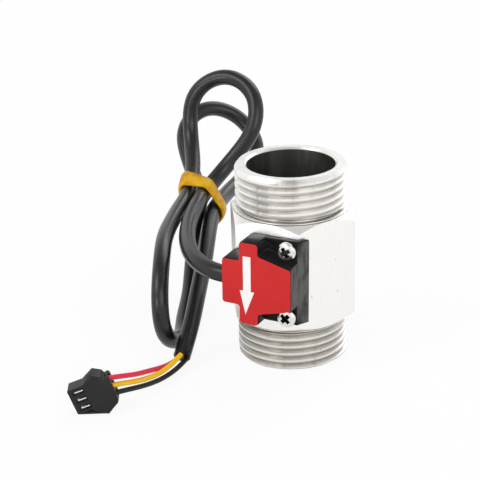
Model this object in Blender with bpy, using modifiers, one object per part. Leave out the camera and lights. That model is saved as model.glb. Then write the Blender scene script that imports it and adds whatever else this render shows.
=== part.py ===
# Inline water flow sensor: a threaded steel body with a paddle rotor inside, a Hall
# sensor housing screwed to one flat, and a tied three core cable with its plug.
# Named sizes are in millimetres; everything is turned to metres as it is built.
# The bore axis is vertical, the sensor housing faces -Y and the outlet is at the bottom.

import math

import bmesh
import bpy
import numpy as np
from mathutils import Matrix, Vector

MM = 0.001
MERGE = 0.00001
FULL_TURN = 360.0            # degrees

# Fits
GAP = 0.3                    # between pieces that touch
ROUND = 40                   # facets round the large turned pieces
SMALL_ROUND = 20             # facets round the small turned pieces

# Flow body
BODY_HEIGHT = 60.0
HEX_FLATS = 35.0
HEX_CHAMFER_DIAMETER = 33.2  # where the 30 degree chamfer of the hexagon starts
LOWER_END_LENGTH = 13.0      # of the threaded end below the hexagon
UPPER_END_LENGTH = 13.0
THREAD_DIAMETER = 33.25      # G1 pipe thread
THREAD_PITCH = 2.309
THREAD_DEPTH = 1.479
THREAD_ROOT_FLAT = 0.55
THREAD_CREST_FLAT = 0.5
THREAD_CLEAR = 0.1           # of the groove's cutter beyond the crests
THREAD_START = 1.62          # of the lower groove's middle below the outlet face
END_FACE_DIAMETER = 31.6
END_CHAMFER = 1.0
RELIEF_WIDTH = 1.5
RELIEF_DEPTH = 0.2           # below the thread's root
THREAD_RUNOUT = 0.4          # of the groove's middle into the relief
BORE_DIAMETER = 26.2
OUTLET_DIAMETER = 22.0
SHOULDER_HEIGHT = 11.0       # seat of the rotor's lower support
BORE_CHAMFER = 0.6

# Retaining ring and its groove
RING_GROOVE_DEPTH = 11.7     # of its lower side below the inlet face
RING_GROOVE_WIDTH = 1.8
RING_GROOVE_DIAMETER = 28.0
RING_INNER_DIAMETER = 23.4
RING_OPEN_ANGLE = 30.0

# Rotor and its supports
SHAFT_DIAMETER = 2.5
SUPPORT_RING_WALL = 1.5
SPIDER_HEIGHT = 5.0
SPIDER_ARMS = 3
SPIDER_ARM_WIDTH = 1.6
SPIDER_ARM_INSET = 0.4       # of the arms from the ring's faces
HUB_DIAMETER = 9.0
HUB_FLOOR = 1.5              # closed end of each support hub
GUIDE_HEIGHT = 4.5
GUIDE_VANES = 5
GUIDE_VANE_TURN = 48.0       # degrees that a vane winds over its height
GUIDE_VANE_THICKNESS = 1.1
GUIDE_VANE_INSET = 0.3       # of the vanes from the ring's faces
GUIDE_VANE_STEPS = 8
ROTOR_END_PLAY = 0.5
ROTOR_TIP_GAP = 0.8
PADDLES = 6
PADDLE_THICKNESS = 1.3
PADDLE_END_SETBACK = 1.2
ROTOR_EDGE = 0.4
ROTOR_FLANGE_REACH = 1.2     # of the flange over the magnet
ROTOR_FLANGE_THICKNESS = 1.2
MAGNET_DIAMETER = 15.0
MAGNET_HEIGHT = 5.0
MAGNET_LIFT = 1.0            # from the rotor hub's lower end
BUSH_WALL = 0.9
BUSH_LENGTH = 3.0

# Sensor housing
HOUSING_RISE = 0.9           # of its middle above the hexagon's
FLANGE_MARGIN = 2.35         # of the flange above and below its screws' middles
FLANGE_DROP = 0.25           # of the flange and its screws below the box's middle
FLANGE_THICKNESS = 2.1
FLANGE_OVERLAP = 1.0         # of the flange behind the column
FLANGE_RELIEF = 0.1          # of the flange's back behind the box's rim
LIP_LENGTH = 2.5
LIP_THICKNESS = 1.2
BOX_DEPTH = 7.7              # from the flange's back to the label
COLUMN_LEFT = -5.2
COLUMN_RIGHT = 0.85
COLUMN_HEIGHT = 25.5
LEFT_ARM_END = -10.7
LEFT_ARM_HEIGHT = 14.0
RIGHT_ARM_END = 11.1
RIGHT_ARM_ROOT_DROP = 2.9    # of the arm's height at its root below the screws' spacing
RIGHT_ARM_END_DROP = 8.2
BOX_WALL = 1.5
BOX_CORNER = 0.9
BOX_EDGE = 0.35
LABEL_THICKNESS = 0.25
LABEL_GAP = 0.1
LABEL_INSET = 0.15

# Screws that hold the housing
SCREW_ACROSS = 7.9
SCREW_SPACING = 21.2
SCREW_HEAD_DIAMETER = 5.3
SCREW_HEAD_HEIGHT = 1.7
SCREW_DOME = 0.9             # of the head's height
SCREW_SHANK_DIAMETER = 3.0
SCREW_DEPTH = 4.3            # of the shank below the flat
SCREW_TIP = 0.5
SCREW_SLOT = 0.8
SCREW_SLOT_DEPTH = 0.8
SCREW_SLOT_LENGTH = 3.2

# Hall sensor and its board
POCKET_WIDTH = 5.0
POCKET_HEIGHT = 4.8
POCKET_DEPTH = 2.6
HALL_WIDTH = 4.0
HALL_HEIGHT = 3.0
HALL_THICKNESS = 1.6
HALL_LEG = 0.5
HALL_LEG_PITCH = 1.27
HALL_LEG_RISE = 1.0          # of the legs above the sensor's lower side
SEAL_THICKNESS = 1.0
SEAL_WALL = 1.0
SEAL_MARGIN = 0.4            # of the seal's window round the pocket
BOARD_THICKNESS = 1.0
BOARD_WIDTH = 14.0
BOARD_HEIGHT = 9.0
BOARD_LEFT = -5.4

# Cable, its cores and its plug
CABLE_DIAMETER = 5.2
CABLE_POINT_COUNT = 78
CORE_DIAMETER = 1.5
LEAD_DIAMETER = 1.3
LEAD_RUN = (1.0, 2.4, 4.5)   # of each inner lead to its two bends and its end
CORE_SPREAD = 1.45           # of the cores about the cable's centre
BAND_DIAMETER = 1.7
BAND_POINT_COUNT = 32
CORE_POINT_COUNT = 16
PLUG_LENGTH = 12.5
PLUG_WIDTH = 8.0             # of its open end
PLUG_THICKNESS = 5.5
PLUG_WING_AT = 8.2           # from the open end to the tips of the wings
PLUG_WING_UP = 2.0           # of the wing tips beyond the open end's sides
PLUG_WING_DOWN = 3.0
PLUG_WING_RAMP = 3.8         # in front of the tips, where the wings widen
PLUG_WING_FALL = (2.4, 1.5)  # back and in, behind the tips
PLUG_REAR_TOE = (0.6, 0.8)   # forward and out, at the lower rear corner
PLUG_REAR_CUT = (0.4, 0.8)   # forward and out, at the upper rear corner
PLUG_REAR_INSET = (1.0, 0.6) # of the rear face and of the notch behind the upper wing
PLUG_EDGE = 0.25
PLUG_PITCH = 2.55
PLUG_FACE_STEP = 0.4         # of the wide face near the open end
PLUG_WALL = 1.2              # at the wide faces of the socket
PLUG_SIDE_WALL = 0.65
PLUG_WINDOW = (1.2, 4.7)     # from the open end
PLUG_WINDOW_WIDTH = 1.5
PLUG_SOCKET_DEPTH = 5.6
PLUG_HOLE_DEPTH = 1.6
PLUG_HEADING = 27.4          # of the plug's length, from +X
PLUG_NOSE = (-41.8, -59.7)   # middle of the open end, at the face away from the viewer
CONTACT_WIDTH = 0.9
CONTACT_THICKNESS = 0.5
CONTACT_RISE = 1.2           # of the tab that shows in the window

# Worked out from the sizes above
HEX_CORNER = HEX_FLATS / math.sqrt(3)
FLAT = HEX_FLATS / 2
BORE = BORE_DIAMETER / 2
THREAD = THREAD_DIAMETER / 2
FLANGE_BACK = FLAT + GAP
FLANGE_FRONT = FLANGE_BACK + FLANGE_THICKNESS
FLANGE_LEFT = COLUMN_LEFT + FLANGE_OVERLAP
FLANGE_HEIGHT = SCREW_SPACING + 2 * FLANGE_MARGIN
RIGHT_ARM_ROOT_HEIGHT = SCREW_SPACING - RIGHT_ARM_ROOT_DROP
RIGHT_ARM_END_HEIGHT = SCREW_SPACING - RIGHT_ARM_END_DROP
HEX_BOTTOM = LOWER_END_LENGTH
HEX_TOP = BODY_HEIGHT - UPPER_END_LENGTH
BOX_FRONT = FLANGE_BACK + BOX_DEPTH
LABEL_FRONT = BOX_FRONT + LABEL_GAP + LABEL_THICKNESS
HOUSING_Z = (HEX_BOTTOM + HEX_TOP) / 2 + HOUSING_RISE
FLANGE_Z = HOUSING_Z - FLANGE_DROP
RING_GROOVE_HEIGHT = BODY_HEIGHT - RING_GROOVE_DEPTH
SPIDER_Z = SHOULDER_HEIGHT + GAP
GUIDE_Z = RING_GROOVE_HEIGHT - GUIDE_HEIGHT
ROTOR_Z = SPIDER_Z + SPIDER_HEIGHT + ROTOR_END_PLAY
ROTOR_TOP = GUIDE_Z - ROTOR_END_PLAY
MAGNET_Z = ROTOR_Z + MAGNET_LIFT
SEAL_FRONT = FLANGE_BACK + SEAL_THICKNESS
SEAL_WINDOW_X = POCKET_WIDTH / 2 + SEAL_MARGIN
SEAL_WINDOW_Z = POCKET_HEIGHT / 2 + SEAL_MARGIN
BOARD_BACK = SEAL_FRONT + GAP
BOARD_LOW = HOUSING_Z - BOARD_HEIGHT / 2
BOARD_HIGH = HOUSING_Z + BOARD_HEIGHT / 2
HALL_Z = max(MAGNET_Z + MAGNET_HEIGHT / 2, BOARD_LOW + HALL_HEIGHT / 2)
CABLE_EXIT_Y = -(FLANGE_BACK + BOX_FRONT) / 2

# The origin is the middle of the body and housing at the outlet face
AXIS_Y = (LABEL_FRONT - FLAT) / 2

# The cable from inside the housing to the end of its jacket, about the bore axis:
# out of the housing, through the band, round the upper loop, down to the floor,
# back up through the band, round the lower loop and down to the cores
CABLE_ROUTE = [
    (-9.0, CABLE_EXIT_Y, HOUSING_Z), (-14.5, CABLE_EXIT_Y + 0.7, HOUSING_Z),
    (-22.5, -17, 31), (-30, -9, 31), (-37, 3, 31), (-41, 13, 31.5), (-43.5, 22.5, 32.5),
    (-46.5, 39.5, 34), (-42, 48.5, 41.5), (-37.5, 53, 50.5), (-40.5, 58.5, 60),
    (-52, 60.5, 64), (-61.5, 57.5, 57.5), (-62.5, 55, 46.5), (-57, 45.5, 37),
    (-51.5, 30, 31.5), (-49, 20, 31), (-46, 9.5, 31), (-41, -4.5, 31), (-35.5, -17, 28),
    (-32, -25, 19.5), (-31.5, -22.5, 7.5), (-32, -14, 3), (-36, -3.5, 3.7), (-40, 8, 7),
    (-44.5, 19.5, 13.5), (-48, 30, 21.5), (-52, 40, 27), (-58, 48.5, 31), (-65, 56, 37),
    (-69, 64, 43.5), (-65.5, 73.5, 47.5), (-56, 80, 43), (-48, 76.5, 35), (-46, 63, 29),
    (-45.5, 47.5, 27.5), (-44.5, 41.5, 27.5), (-41, 28.5, 28), (-37, 17, 25.5),
    (-33, 6, 21), (-29.5, -5.5, 15.5), (-26.5, -16.5, 9.5), (-24.5, -26.5, 4),
]

# The rubber band, a closed loop round the four strands
BAND_ROUTE = [
    (-39.5, 38, 27.5), (-41, 36.5, 32), (-44, 34.5, 36), (-48.5, 32.5, 37), (-53, 31, 36),
    (-55.5, 30.5, 33), (-55, 31.5, 28.5), (-53, 34, 23), (-50, 35.5, 20.5), (-45.5, 36.5, 21.5),
    (-41.5, 38, 24),
]

# Where each core lies about the cable's centre, in degrees, seen from the plug
CORE_TURN = {"yellow": 90, "red": 210, "black": 330}

# Each core from the end of the jacket towards its place in the plug
CORE_MIDDLES = {
    "red": [(-26.7, -32, 2.7), (-27.1, -38.5, 4.9), (-27.8, -46, 6.8), (-28.8, -52.6, 9)],
    "yellow": [(-24.6, -31, 4.1), (-25.5, -37.5, 3.4), (-26.8, -44.5, 4.6), (-28.1, -51, 6.2)],
    "black": [(-23.3, -30.5, 2.4), (-24.8, -37, 1.7), (-26.1, -44.5, 2.9), (-27.4, -51.2, 4.5)],
}


def clear_scene():
    for thing in list(bpy.data.objects):
        bpy.data.objects.remove(thing, do_unlink=True)


def make_collection(name):
    collection = bpy.data.collections.new(name)
    bpy.context.scene.collection.children.link(collection)
    return collection


clear_scene()
PARTS = make_collection("water_flow_sensor")
CUTTERS = make_collection("cutters")

BORE_AXIS = bpy.data.objects.new("bore_axis", None)
BORE_AXIS.location = (0, AXIS_Y * MM, 0)
PARTS.objects.link(BORE_AXIS)


def make_material(name, color, roughness, metallic=0.0):
    material = bpy.data.materials.new(name)
    material.use_nodes = True
    shader = material.node_tree.nodes["Principled BSDF"]
    shader.inputs["Base Color"].default_value = (*color, 1)
    shader.inputs["Roughness"].default_value = roughness
    shader.inputs["Metallic"].default_value = metallic
    return material


STEEL = make_material("stainless_steel", (0.72, 0.71, 0.69), 0.3, 1.0)
SPRING_STEEL = make_material("spring_steel", (0.5, 0.5, 0.5), 0.35, 1.0)
SCREW_STEEL = make_material("plated_steel", (0.78, 0.78, 0.78), 0.2, 1.0)
CONTACT_METAL = make_material("tinned_contact", (0.82, 0.82, 0.8), 0.25, 1.0)
MAGNET = make_material("ferrite_magnet", (0.05, 0.05, 0.055), 0.5)
GREY_PLASTIC = make_material("rotor_plastic", (0.55, 0.56, 0.56), 0.45)
DARK_PLASTIC = make_material("support_plastic", (0.03, 0.03, 0.032), 0.45)
HOUSING_PLASTIC = make_material("housing_plastic", (0.018, 0.018, 0.02), 0.4)
BUSH_PLASTIC = make_material("bush_plastic", (0.75, 0.74, 0.68), 0.35)
SEAL_RUBBER = make_material("seal_rubber", (0.09, 0.09, 0.09), 0.8)
BOARD = make_material("circuit_board", (0.02, 0.16, 0.06), 0.5)
CHIP = make_material("chip_epoxy", (0.02, 0.02, 0.02), 0.5)
LABEL_RED = make_material("label_red", (0.6, 0.03, 0.03), 0.35)
CABLE_BLACK = make_material("cable_black", (0.025, 0.025, 0.027), 0.5)
CORE_RED = make_material("core_red", (0.6, 0.02, 0.03), 0.4)
CORE_YELLOW = make_material("core_yellow", (0.85, 0.42, 0.01), 0.4)
BAND_RUBBER = make_material("band_rubber", (0.8, 0.4, 0.01), 0.5)


def add_object(name, mesh, material=None, collection=None):
    thing = bpy.data.objects.new(name, mesh)
    (collection or PARTS).objects.link(thing)
    thing.parent = BORE_AXIS
    if material:
        mesh.materials.clear()
        mesh.materials.append(material)
    return thing


def as_cutter(thing):
    for collection in list(thing.users_collection):
        collection.objects.unlink(thing)
    CUTTERS.objects.link(thing)
    thing.hide_render = True
    thing.display_type = "WIRE"
    return thing


def boolean(thing, other, operation):
    as_cutter(other)
    step = thing.modifiers.new(operation.lower(), "BOOLEAN")
    step.operation = operation
    step.solver = "EXACT"
    step.object = other
    return thing


def cut(thing, *others):
    for other in others:
        boolean(thing, other, "DIFFERENCE")
    return thing


def join(thing, *others):
    for other in others:
        boolean(thing, other, "UNION")
    return thing


def trim(thing, other):
    return boolean(thing, other, "INTERSECT")


def smooth(thing, angle=40):
    thing.data.shade_smooth()
    thing.data.set_sharp_from_angle(angle=math.radians(angle))
    return thing


def bevel(thing, width, segments=2, angle=50):
    step = thing.modifiers.new("bevel", "BEVEL")
    step.width = width * MM
    step.segments = segments
    step.limit_method = "ANGLE"
    step.angle_limit = math.radians(angle)
    step.harden_normals = False
    return thing


def half_facet(thing):
    # turns a piece by half a facet, so that its facets cross those of its neighbour cleanly
    thing.rotation_euler.z += math.pi / ROUND
    return thing


def weld(thing):
    step = thing.modifiers.new("weld", "WELD")
    step.merge_threshold = MERGE
    return thing


def turned(name, profile, material=None, segments=ROUND):
    # profile: (radius, height) points that run down the outer side; a profile that
    # leaves the axis and comes back to it is closed by the axis itself
    mesh = bpy.data.meshes.new(name)
    points = [(r * MM, 0, z * MM) for r, z in profile]
    edges = [(i, i + 1) for i in range(len(points) - 1)]
    if profile[0][0] > 0:
        edges.append((len(points) - 1, 0))
    mesh.from_pydata(points, edges, [])
    thing = add_object(name, mesh, material)
    step = thing.modifiers.new("turn", "SCREW")
    step.axis = "Z"
    step.steps = step.render_steps = segments
    step.use_merge_vertices = True
    step.merge_threshold = MERGE
    step.use_smooth_shade = True
    return thing


def rod(name, radius, bottom, top, material=None, segments=SMALL_ROUND, edge=0.0):
    profile = [(0, top), (radius - edge, top), (radius, top - edge),
               (radius, bottom + edge), (radius - edge, bottom), (0, bottom)]
    if not edge:
        profile = [(0, top), (radius, top), (radius, bottom), (0, bottom)]
    return turned(name, profile, material, segments)


def ring(name, inner, outer, bottom, top, material=None, segments=ROUND):
    profile = [(inner, top), (outer, top), (outer, bottom), (inner, bottom)]
    return turned(name, profile, material, segments)


def block(name, low, high, material=None):
    mesh = bpy.data.meshes.new(name)
    shape = bmesh.new()
    bmesh.ops.create_cube(shape, size=1)
    size = [(h - l) * MM for l, h in zip(low, high)]
    middle = [(h + l) / 2 * MM for l, h in zip(low, high)]
    bmesh.ops.scale(shape, vec=size, verts=shape.verts)
    bmesh.ops.translate(shape, vec=middle, verts=shape.verts)
    shape.to_mesh(mesh)
    shape.free()
    return add_object(name, mesh, material)


def sweep(name, profile, start, turn, rise, steps, material=None):
    # profile: (radius, height) corners of a section that winds about the bore axis
    shape = bmesh.new()
    corners = [shape.verts.new((r * MM, 0, z * MM)) for r, z in profile]
    section = [shape.edges.new((a, b)) for a, b in zip(corners, corners[1:] + corners[:1])]
    bmesh.ops.spin(shape, geom=corners + section, axis=(0, 0, 1), cent=(0, 0, 0),
                   dvec=(0, 0, rise * MM / steps), angle=math.radians(turn), steps=steps)
    open_edges = [edge for edge in shape.edges if edge.is_boundary]
    bmesh.ops.holes_fill(shape, edges=open_edges, sides=len(profile))
    bmesh.ops.rotate(shape, cent=(0, 0, 0), verts=shape.verts,
                     matrix=Matrix.Rotation(math.radians(start), 3, "Z"))
    bmesh.ops.recalc_face_normals(shape, faces=shape.faces)
    mesh = bpy.data.meshes.new(name)
    shape.to_mesh(mesh)
    shape.free()
    return add_object(name, mesh, material)


def rounded(points, radius, steps=3):
    # the outline with each corner turned into an arc
    outline = []
    count = len(points)
    for i, corner in enumerate(points):
        here = Vector(corner)
        before = (Vector(points[i - 1]) - here)
        after = (Vector(points[(i + 1) % count]) - here)
        half = before.angle(after) / 2
        reach = min(radius / math.tan(half), before.length * 0.45, after.length * 0.45)
        arc_radius = reach * math.tan(half)
        start = here + before.normalized() * reach
        end = here + after.normalized() * reach
        middle = here + (before.normalized() + after.normalized()).normalized() * (
            arc_radius / math.sin(half))
        for step in range(steps + 1):
            spoke = (start - middle).lerp(end - middle, step / steps)
            outline.append(tuple(middle + spoke.normalized() * arc_radius))
    return outline


def as_mesh(name, curve_object, material):
    bpy.context.view_layer.update()
    graph = bpy.context.evaluated_depsgraph_get()
    mesh = bpy.data.meshes.new_from_object(curve_object.evaluated_get(graph))
    shape = bmesh.new()
    shape.from_mesh(mesh)
    bmesh.ops.remove_doubles(shape, verts=shape.verts, dist=MERGE)
    bmesh.ops.dissolve_limit(shape, angle_limit=math.radians(0.5), verts=shape.verts,
                             edges=shape.edges)
    bmesh.ops.recalc_face_normals(shape, faces=shape.faces)
    shape.to_mesh(mesh)
    shape.free()
    thing = add_object(name, mesh, material)
    thing.matrix_world = curve_object.matrix_world
    curve = curve_object.data
    bpy.data.objects.remove(curve_object)
    bpy.data.curves.remove(curve)
    return thing


def outline_solid(name, outline, low, high, facing, material=None):
    # facing FRONT: the outline is (x, z), extruded from y = -low out to y = -high;
    # facing TOP: the outline is (x, y), extruded from z = low up to z = high
    curve = bpy.data.curves.new(name + "_outline", "CURVE")
    curve.dimensions = "2D"
    curve.fill_mode = "BOTH"
    curve.extrude = (high - low) / 2 * MM
    spline = curve.splines.new("POLY")
    spline.points.add(len(outline) - 1)
    for point, (across, along) in zip(spline.points, outline):
        point.co = (across * MM, along * MM, 0, 1)
    spline.use_cyclic_u = True
    thing = bpy.data.objects.new(name + "_outline", curve)
    PARTS.objects.link(thing)
    thing.parent = BORE_AXIS
    middle = (low + high) / 2 * MM
    if facing == "FRONT":
        thing.rotation_euler = (math.radians(90), 0, 0)
        thing.location = (0, -middle, 0)
    else:
        thing.location = (0, 0, middle)
    return as_mesh(name, thing, material)


def smooth_route(points, count, closed=False):
    # a natural cubic through the points, read off at equal steps of length
    knots = np.array([tuple(p) for p in points], float)
    if closed:
        knots = np.vstack([knots[-3:], knots, knots[:4]])
    chord = np.linalg.norm(np.diff(knots, axis=0), axis=1)
    at = np.concatenate([[0], np.cumsum(chord)])
    last = len(knots) - 1
    system = np.eye(last + 1)
    pull = np.zeros((last + 1, 3))
    for i in range(1, last):
        system[i, i - 1:i + 2] = chord[i - 1], 2 * (chord[i - 1] + chord[i]), chord[i]
        slopes = (knots[i + 1] - knots[i]) / chord[i] - (knots[i] - knots[i - 1]) / chord[i - 1]
        pull[i] = 6 * slopes
    bend = np.linalg.solve(system, pull)

    def place(distance):
        i = min(np.searchsorted(at, distance, side="right") - 1, last - 1)
        i = max(i, 0)
        span = chord[i]
        a, b = (at[i + 1] - distance) / span, (distance - at[i]) / span
        return (a * knots[i] + b * knots[i + 1]
                + ((a ** 3 - a) * bend[i] + (b ** 3 - b) * bend[i + 1]) * span ** 2 / 6)

    first, final = (at[3], at[-4]) if closed else (0, at[-1])
    fine = np.array([place(d) for d in np.linspace(first, final, 2000)])
    run = np.concatenate([[0], np.cumsum(np.linalg.norm(np.diff(fine, axis=0), axis=1))])
    marks = np.linspace(0, run[-1], count, endpoint=not closed)
    return [tuple(np.interp(marks[i], run, fine[:, k]) for k in range(3)) for i in range(count)]


def cord(name, points, diameter, material, closed=False):
    curve = bpy.data.curves.new(name, "CURVE")
    curve.dimensions = "3D"
    curve.bevel_depth = diameter / 2 * MM
    curve.bevel_resolution = 2
    curve.use_fill_caps = not closed
    spline = curve.splines.new("POLY")
    spline.points.add(len(points) - 1)
    for point, place in zip(spline.points, points):
        point.co = (*(c * MM for c in place), 1)
    spline.use_cyclic_u = closed
    spline.use_smooth = True
    thing = bpy.data.objects.new(name, curve)
    PARTS.objects.link(thing)
    thing.parent = BORE_AXIS
    curve.materials.append(material)
    return thing


# Flow body: turned ends on a hexagon bar, threaded at both ends and bored through

def thread_groove(name, low, high):
    # the space between two crests, wound right handed from below low to above high; beyond
    # the crests it runs straight out, past the crests and the end face
    root = THREAD - THREAD_DEPTH
    crest = THREAD + THREAD_CLEAR
    outer = max(THREAD, END_FACE_DIAMETER / 2) + 2 * THREAD_CLEAR
    root_side = THREAD_ROOT_FLAT / 2
    slope = (THREAD_PITCH - THREAD_CREST_FLAT - THREAD_ROOT_FLAT) / 2 / THREAD_DEPTH
    crest_side = root_side + slope * (crest - root)
    turns = (high - low) / THREAD_PITCH
    section = [(root, low - root_side), (root, low + root_side), (crest, low + crest_side),
               (outer, low + crest_side), (outer, low - crest_side), (crest, low - crest_side)]
    steps = round(ROUND * turns)
    return sweep(name, section, 0, FULL_TURN * steps / ROUND, THREAD_PITCH * steps / ROUND, steps)


def make_flow_body():
    face = END_FACE_DIAMETER / 2
    root = THREAD - THREAD_DEPTH - RELIEF_DEPTH
    low_neck = HEX_BOTTOM - RELIEF_WIDTH
    high_neck = HEX_TOP + RELIEF_WIDTH
    body = turned("flow_body", [
        (0, BODY_HEIGHT), (face, BODY_HEIGHT), (THREAD, BODY_HEIGHT - END_CHAMFER),
        (THREAD, high_neck + THREAD_DEPTH / 2), (root, high_neck), (root, low_neck),
        (THREAD, low_neck - THREAD_DEPTH / 2), (THREAD, END_CHAMFER), (face, 0), (0, 0)], STEEL)

    bar = bpy.data.meshes.new("hexagon")
    shape = bmesh.new()
    bmesh.ops.create_cone(shape, cap_ends=True, segments=6, radius1=HEX_CORNER * MM,
                          radius2=HEX_CORNER * MM, depth=(HEX_TOP - HEX_BOTTOM) * MM)
    bmesh.ops.rotate(shape, cent=(0, 0, 0), verts=shape.verts,
                     matrix=Matrix.Rotation(math.radians(30), 3, "Z"))
    bmesh.ops.translate(shape, vec=(0, 0, (HEX_TOP + HEX_BOTTOM) / 2 * MM), verts=shape.verts)
    shape.to_mesh(bar)
    shape.free()
    hexagon = add_object("hexagon", bar)
    narrow, wide = HEX_CHAMFER_DIAMETER / 2, HEX_CORNER + 2
    drop = (wide - narrow) * math.tan(math.radians(30))
    barrel = turned("hexagon_chamfer", [
        (0, HEX_TOP), (narrow, HEX_TOP), (wide, HEX_TOP - drop), (wide, HEX_BOTTOM + drop),
        (narrow, HEX_BOTTOM), (0, HEX_BOTTOM)])
    trim(hexagon, half_facet(barrel))
    join(body, hexagon)

    lower_thread = thread_groove("lower_thread", -THREAD_START, low_neck + THREAD_RUNOUT)
    upper_thread = thread_groove("upper_thread", high_neck - THREAD_RUNOUT,
                                 BODY_HEIGHT + THREAD_PITCH)
    outlet = OUTLET_DIAMETER / 2
    ring_wall = RING_GROOVE_DIAMETER / 2
    ring_top = RING_GROOVE_HEIGHT + RING_GROOVE_WIDTH
    bore = turned("bore", [
        (0, BODY_HEIGHT + 1), (BORE + BORE_CHAMFER + 1, BODY_HEIGHT + 1),
        (BORE, BODY_HEIGHT - BORE_CHAMFER), (BORE, ring_top), (ring_wall, ring_top),
        (ring_wall, RING_GROOVE_HEIGHT), (BORE, RING_GROOVE_HEIGHT), (BORE, SHOULDER_HEIGHT),
        (outlet, SHOULDER_HEIGHT), (outlet, BORE_CHAMFER), (outlet + BORE_CHAMFER + 1, -1), (0, -1)])
    pocket = block("hall_pocket",
                   (-POCKET_WIDTH / 2, -FLAT - 1, HALL_Z - POCKET_HEIGHT / 2),
                   (POCKET_WIDTH / 2, -FLAT + POCKET_DEPTH, HALL_Z + POCKET_HEIGHT / 2))
    for groove in (lower_thread, upper_thread):
        weld(cut(body, groove))
    cut(body, half_facet(bore), pocket)
    for side in (-1, 1):
        cut(body, screw_hole("tapped_hole", side, FLAT - SCREW_DEPTH - GAP, FLAT + 1))
    return weld(smooth(body, 30))


def along_front(thing, across, height):
    # turns a piece made about Z so that its top faces -Y
    thing.rotation_euler = (math.radians(90), 0, 0)
    thing.location = (across * MM, 0, height * MM)
    return thing


def screw_hole(name, side, near, far):
    hole = rod(name, SCREW_SHANK_DIAMETER / 2 + GAP, near, far)
    return along_front(hole, SCREW_ACROSS, FLANGE_Z + side * SCREW_SPACING / 2)


# Rotor, its shaft and its two supports

def make_shaft():
    return smooth(rod("rotor_shaft", SHAFT_DIAMETER / 2, SPIDER_Z + HUB_FLOOR + GAP,
                      GUIDE_Z + GUIDE_HEIGHT - HUB_FLOOR - GAP, STEEL, edge=0.2))


def make_spider():
    outer = BORE - GAP
    hub = HUB_DIAMETER / 2
    spider = ring("outlet_spider", outer - SUPPORT_RING_WALL, outer, SPIDER_Z,
                  SPIDER_Z + SPIDER_HEIGHT, DARK_PLASTIC)
    arms = block("spider_arm", (hub / 2, -SPIDER_ARM_WIDTH / 2, SPIDER_Z + SPIDER_ARM_INSET),
                 (outer - SUPPORT_RING_WALL / 2, SPIDER_ARM_WIDTH / 2,
                  SPIDER_Z + SPIDER_HEIGHT - SPIDER_ARM_INSET))
    repeat_about_axis(arms, SPIDER_ARMS)
    middle = rod("spider_hub", hub, SPIDER_Z, SPIDER_Z + SPIDER_HEIGHT)
    socket = rod("spider_socket", SHAFT_DIAMETER / 2 + GAP, SPIDER_Z + HUB_FLOOR,
                 SPIDER_Z + SPIDER_HEIGHT + 1)
    return smooth(cut(join(spider, arms, middle), socket))


def repeat_about_axis(thing, count):
    # copies the object's own mesh round the bore axis
    shape = bmesh.new()
    shape.from_mesh(thing.data)
    first = list(shape.verts) + list(shape.edges) + list(shape.faces)
    for i in range(1, count):
        copy = bmesh.ops.duplicate(shape, geom=first)["geom"]
        verts = [v for v in copy if isinstance(v, bmesh.types.BMVert)]
        bmesh.ops.rotate(shape, cent=(0, 0, 0), verts=verts,
                         matrix=Matrix.Rotation(2 * math.pi * i / count, 3, "Z"))
    shape.to_mesh(thing.data)
    shape.free()


def make_guide():
    outer = BORE - GAP
    hub = HUB_DIAMETER / 2
    top = GUIDE_Z + GUIDE_HEIGHT
    guide = ring("swirl_guide", outer - SUPPORT_RING_WALL, outer, GUIDE_Z, top, DARK_PLASTIC)
    rise = GUIDE_HEIGHT - GUIDE_VANE_THICKNESS - 2 * GUIDE_VANE_INSET
    near, far = hub / 2, outer - SUPPORT_RING_WALL / 2
    low = GUIDE_Z + GUIDE_VANE_INSET
    high = low + GUIDE_VANE_THICKNESS
    for i in range(GUIDE_VANES):
        vane = sweep("guide_vane", [(near, low), (far, low), (far, high), (near, high)],
                     i * FULL_TURN / GUIDE_VANES, GUIDE_VANE_TURN, rise, GUIDE_VANE_STEPS)
        join(guide, vane)
    hub_rod = rod("guide_hub", hub, GUIDE_Z, top)
    socket = rod("guide_socket", SHAFT_DIAMETER / 2 + GAP, GUIDE_Z - 1, top - HUB_FLOOR)
    return smooth(cut(join(guide, hub_rod), socket))


def make_retaining_ring():
    low = RING_GROOVE_HEIGHT + GAP
    high = RING_GROOVE_HEIGHT + RING_GROOVE_WIDTH - GAP
    inner = RING_INNER_DIAMETER / 2
    outer = RING_GROOVE_DIAMETER / 2 - GAP
    section = [(inner, low), (outer, low), (outer, high), (inner, high)]
    return smooth(sweep("retaining_ring", section, 90 + RING_OPEN_ANGLE / 2,
                        FULL_TURN - RING_OPEN_ANGLE, 0, ROUND, SPRING_STEEL))


def make_rotor():
    hub = HUB_DIAMETER / 2
    seat = SHAFT_DIAMETER / 2 + GAP + BUSH_WALL + GAP
    tip = BORE - ROTOR_TIP_GAP
    low = MAGNET_Z + MAGNET_HEIGHT + GAP
    rotor = rod("rotor", hub, ROTOR_Z, ROTOR_TOP, GREY_PLASTIC, ROUND, ROTOR_EDGE)
    paddles = block("paddle", (hub / 2, -PADDLE_THICKNESS / 2, low),
                    (tip, PADDLE_THICKNESS / 2, ROTOR_TOP - PADDLE_END_SETBACK))
    repeat_about_axis(paddles, PADDLES)
    flange = rod("rotor_flange", hub + ROTOR_FLANGE_REACH, low, low + ROTOR_FLANGE_THICKNESS,
                 segments=ROUND)
    bore = rod("rotor_bore", seat, ROTOR_Z - 1, ROTOR_TOP + 1)
    return smooth(cut(join(rotor, paddles, flange), bore))


def make_magnet():
    inner = HUB_DIAMETER / 2 + GAP
    return smooth(ring("magnet_ring", inner, MAGNET_DIAMETER / 2, MAGNET_Z,
                       MAGNET_Z + MAGNET_HEIGHT, MAGNET))


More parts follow.
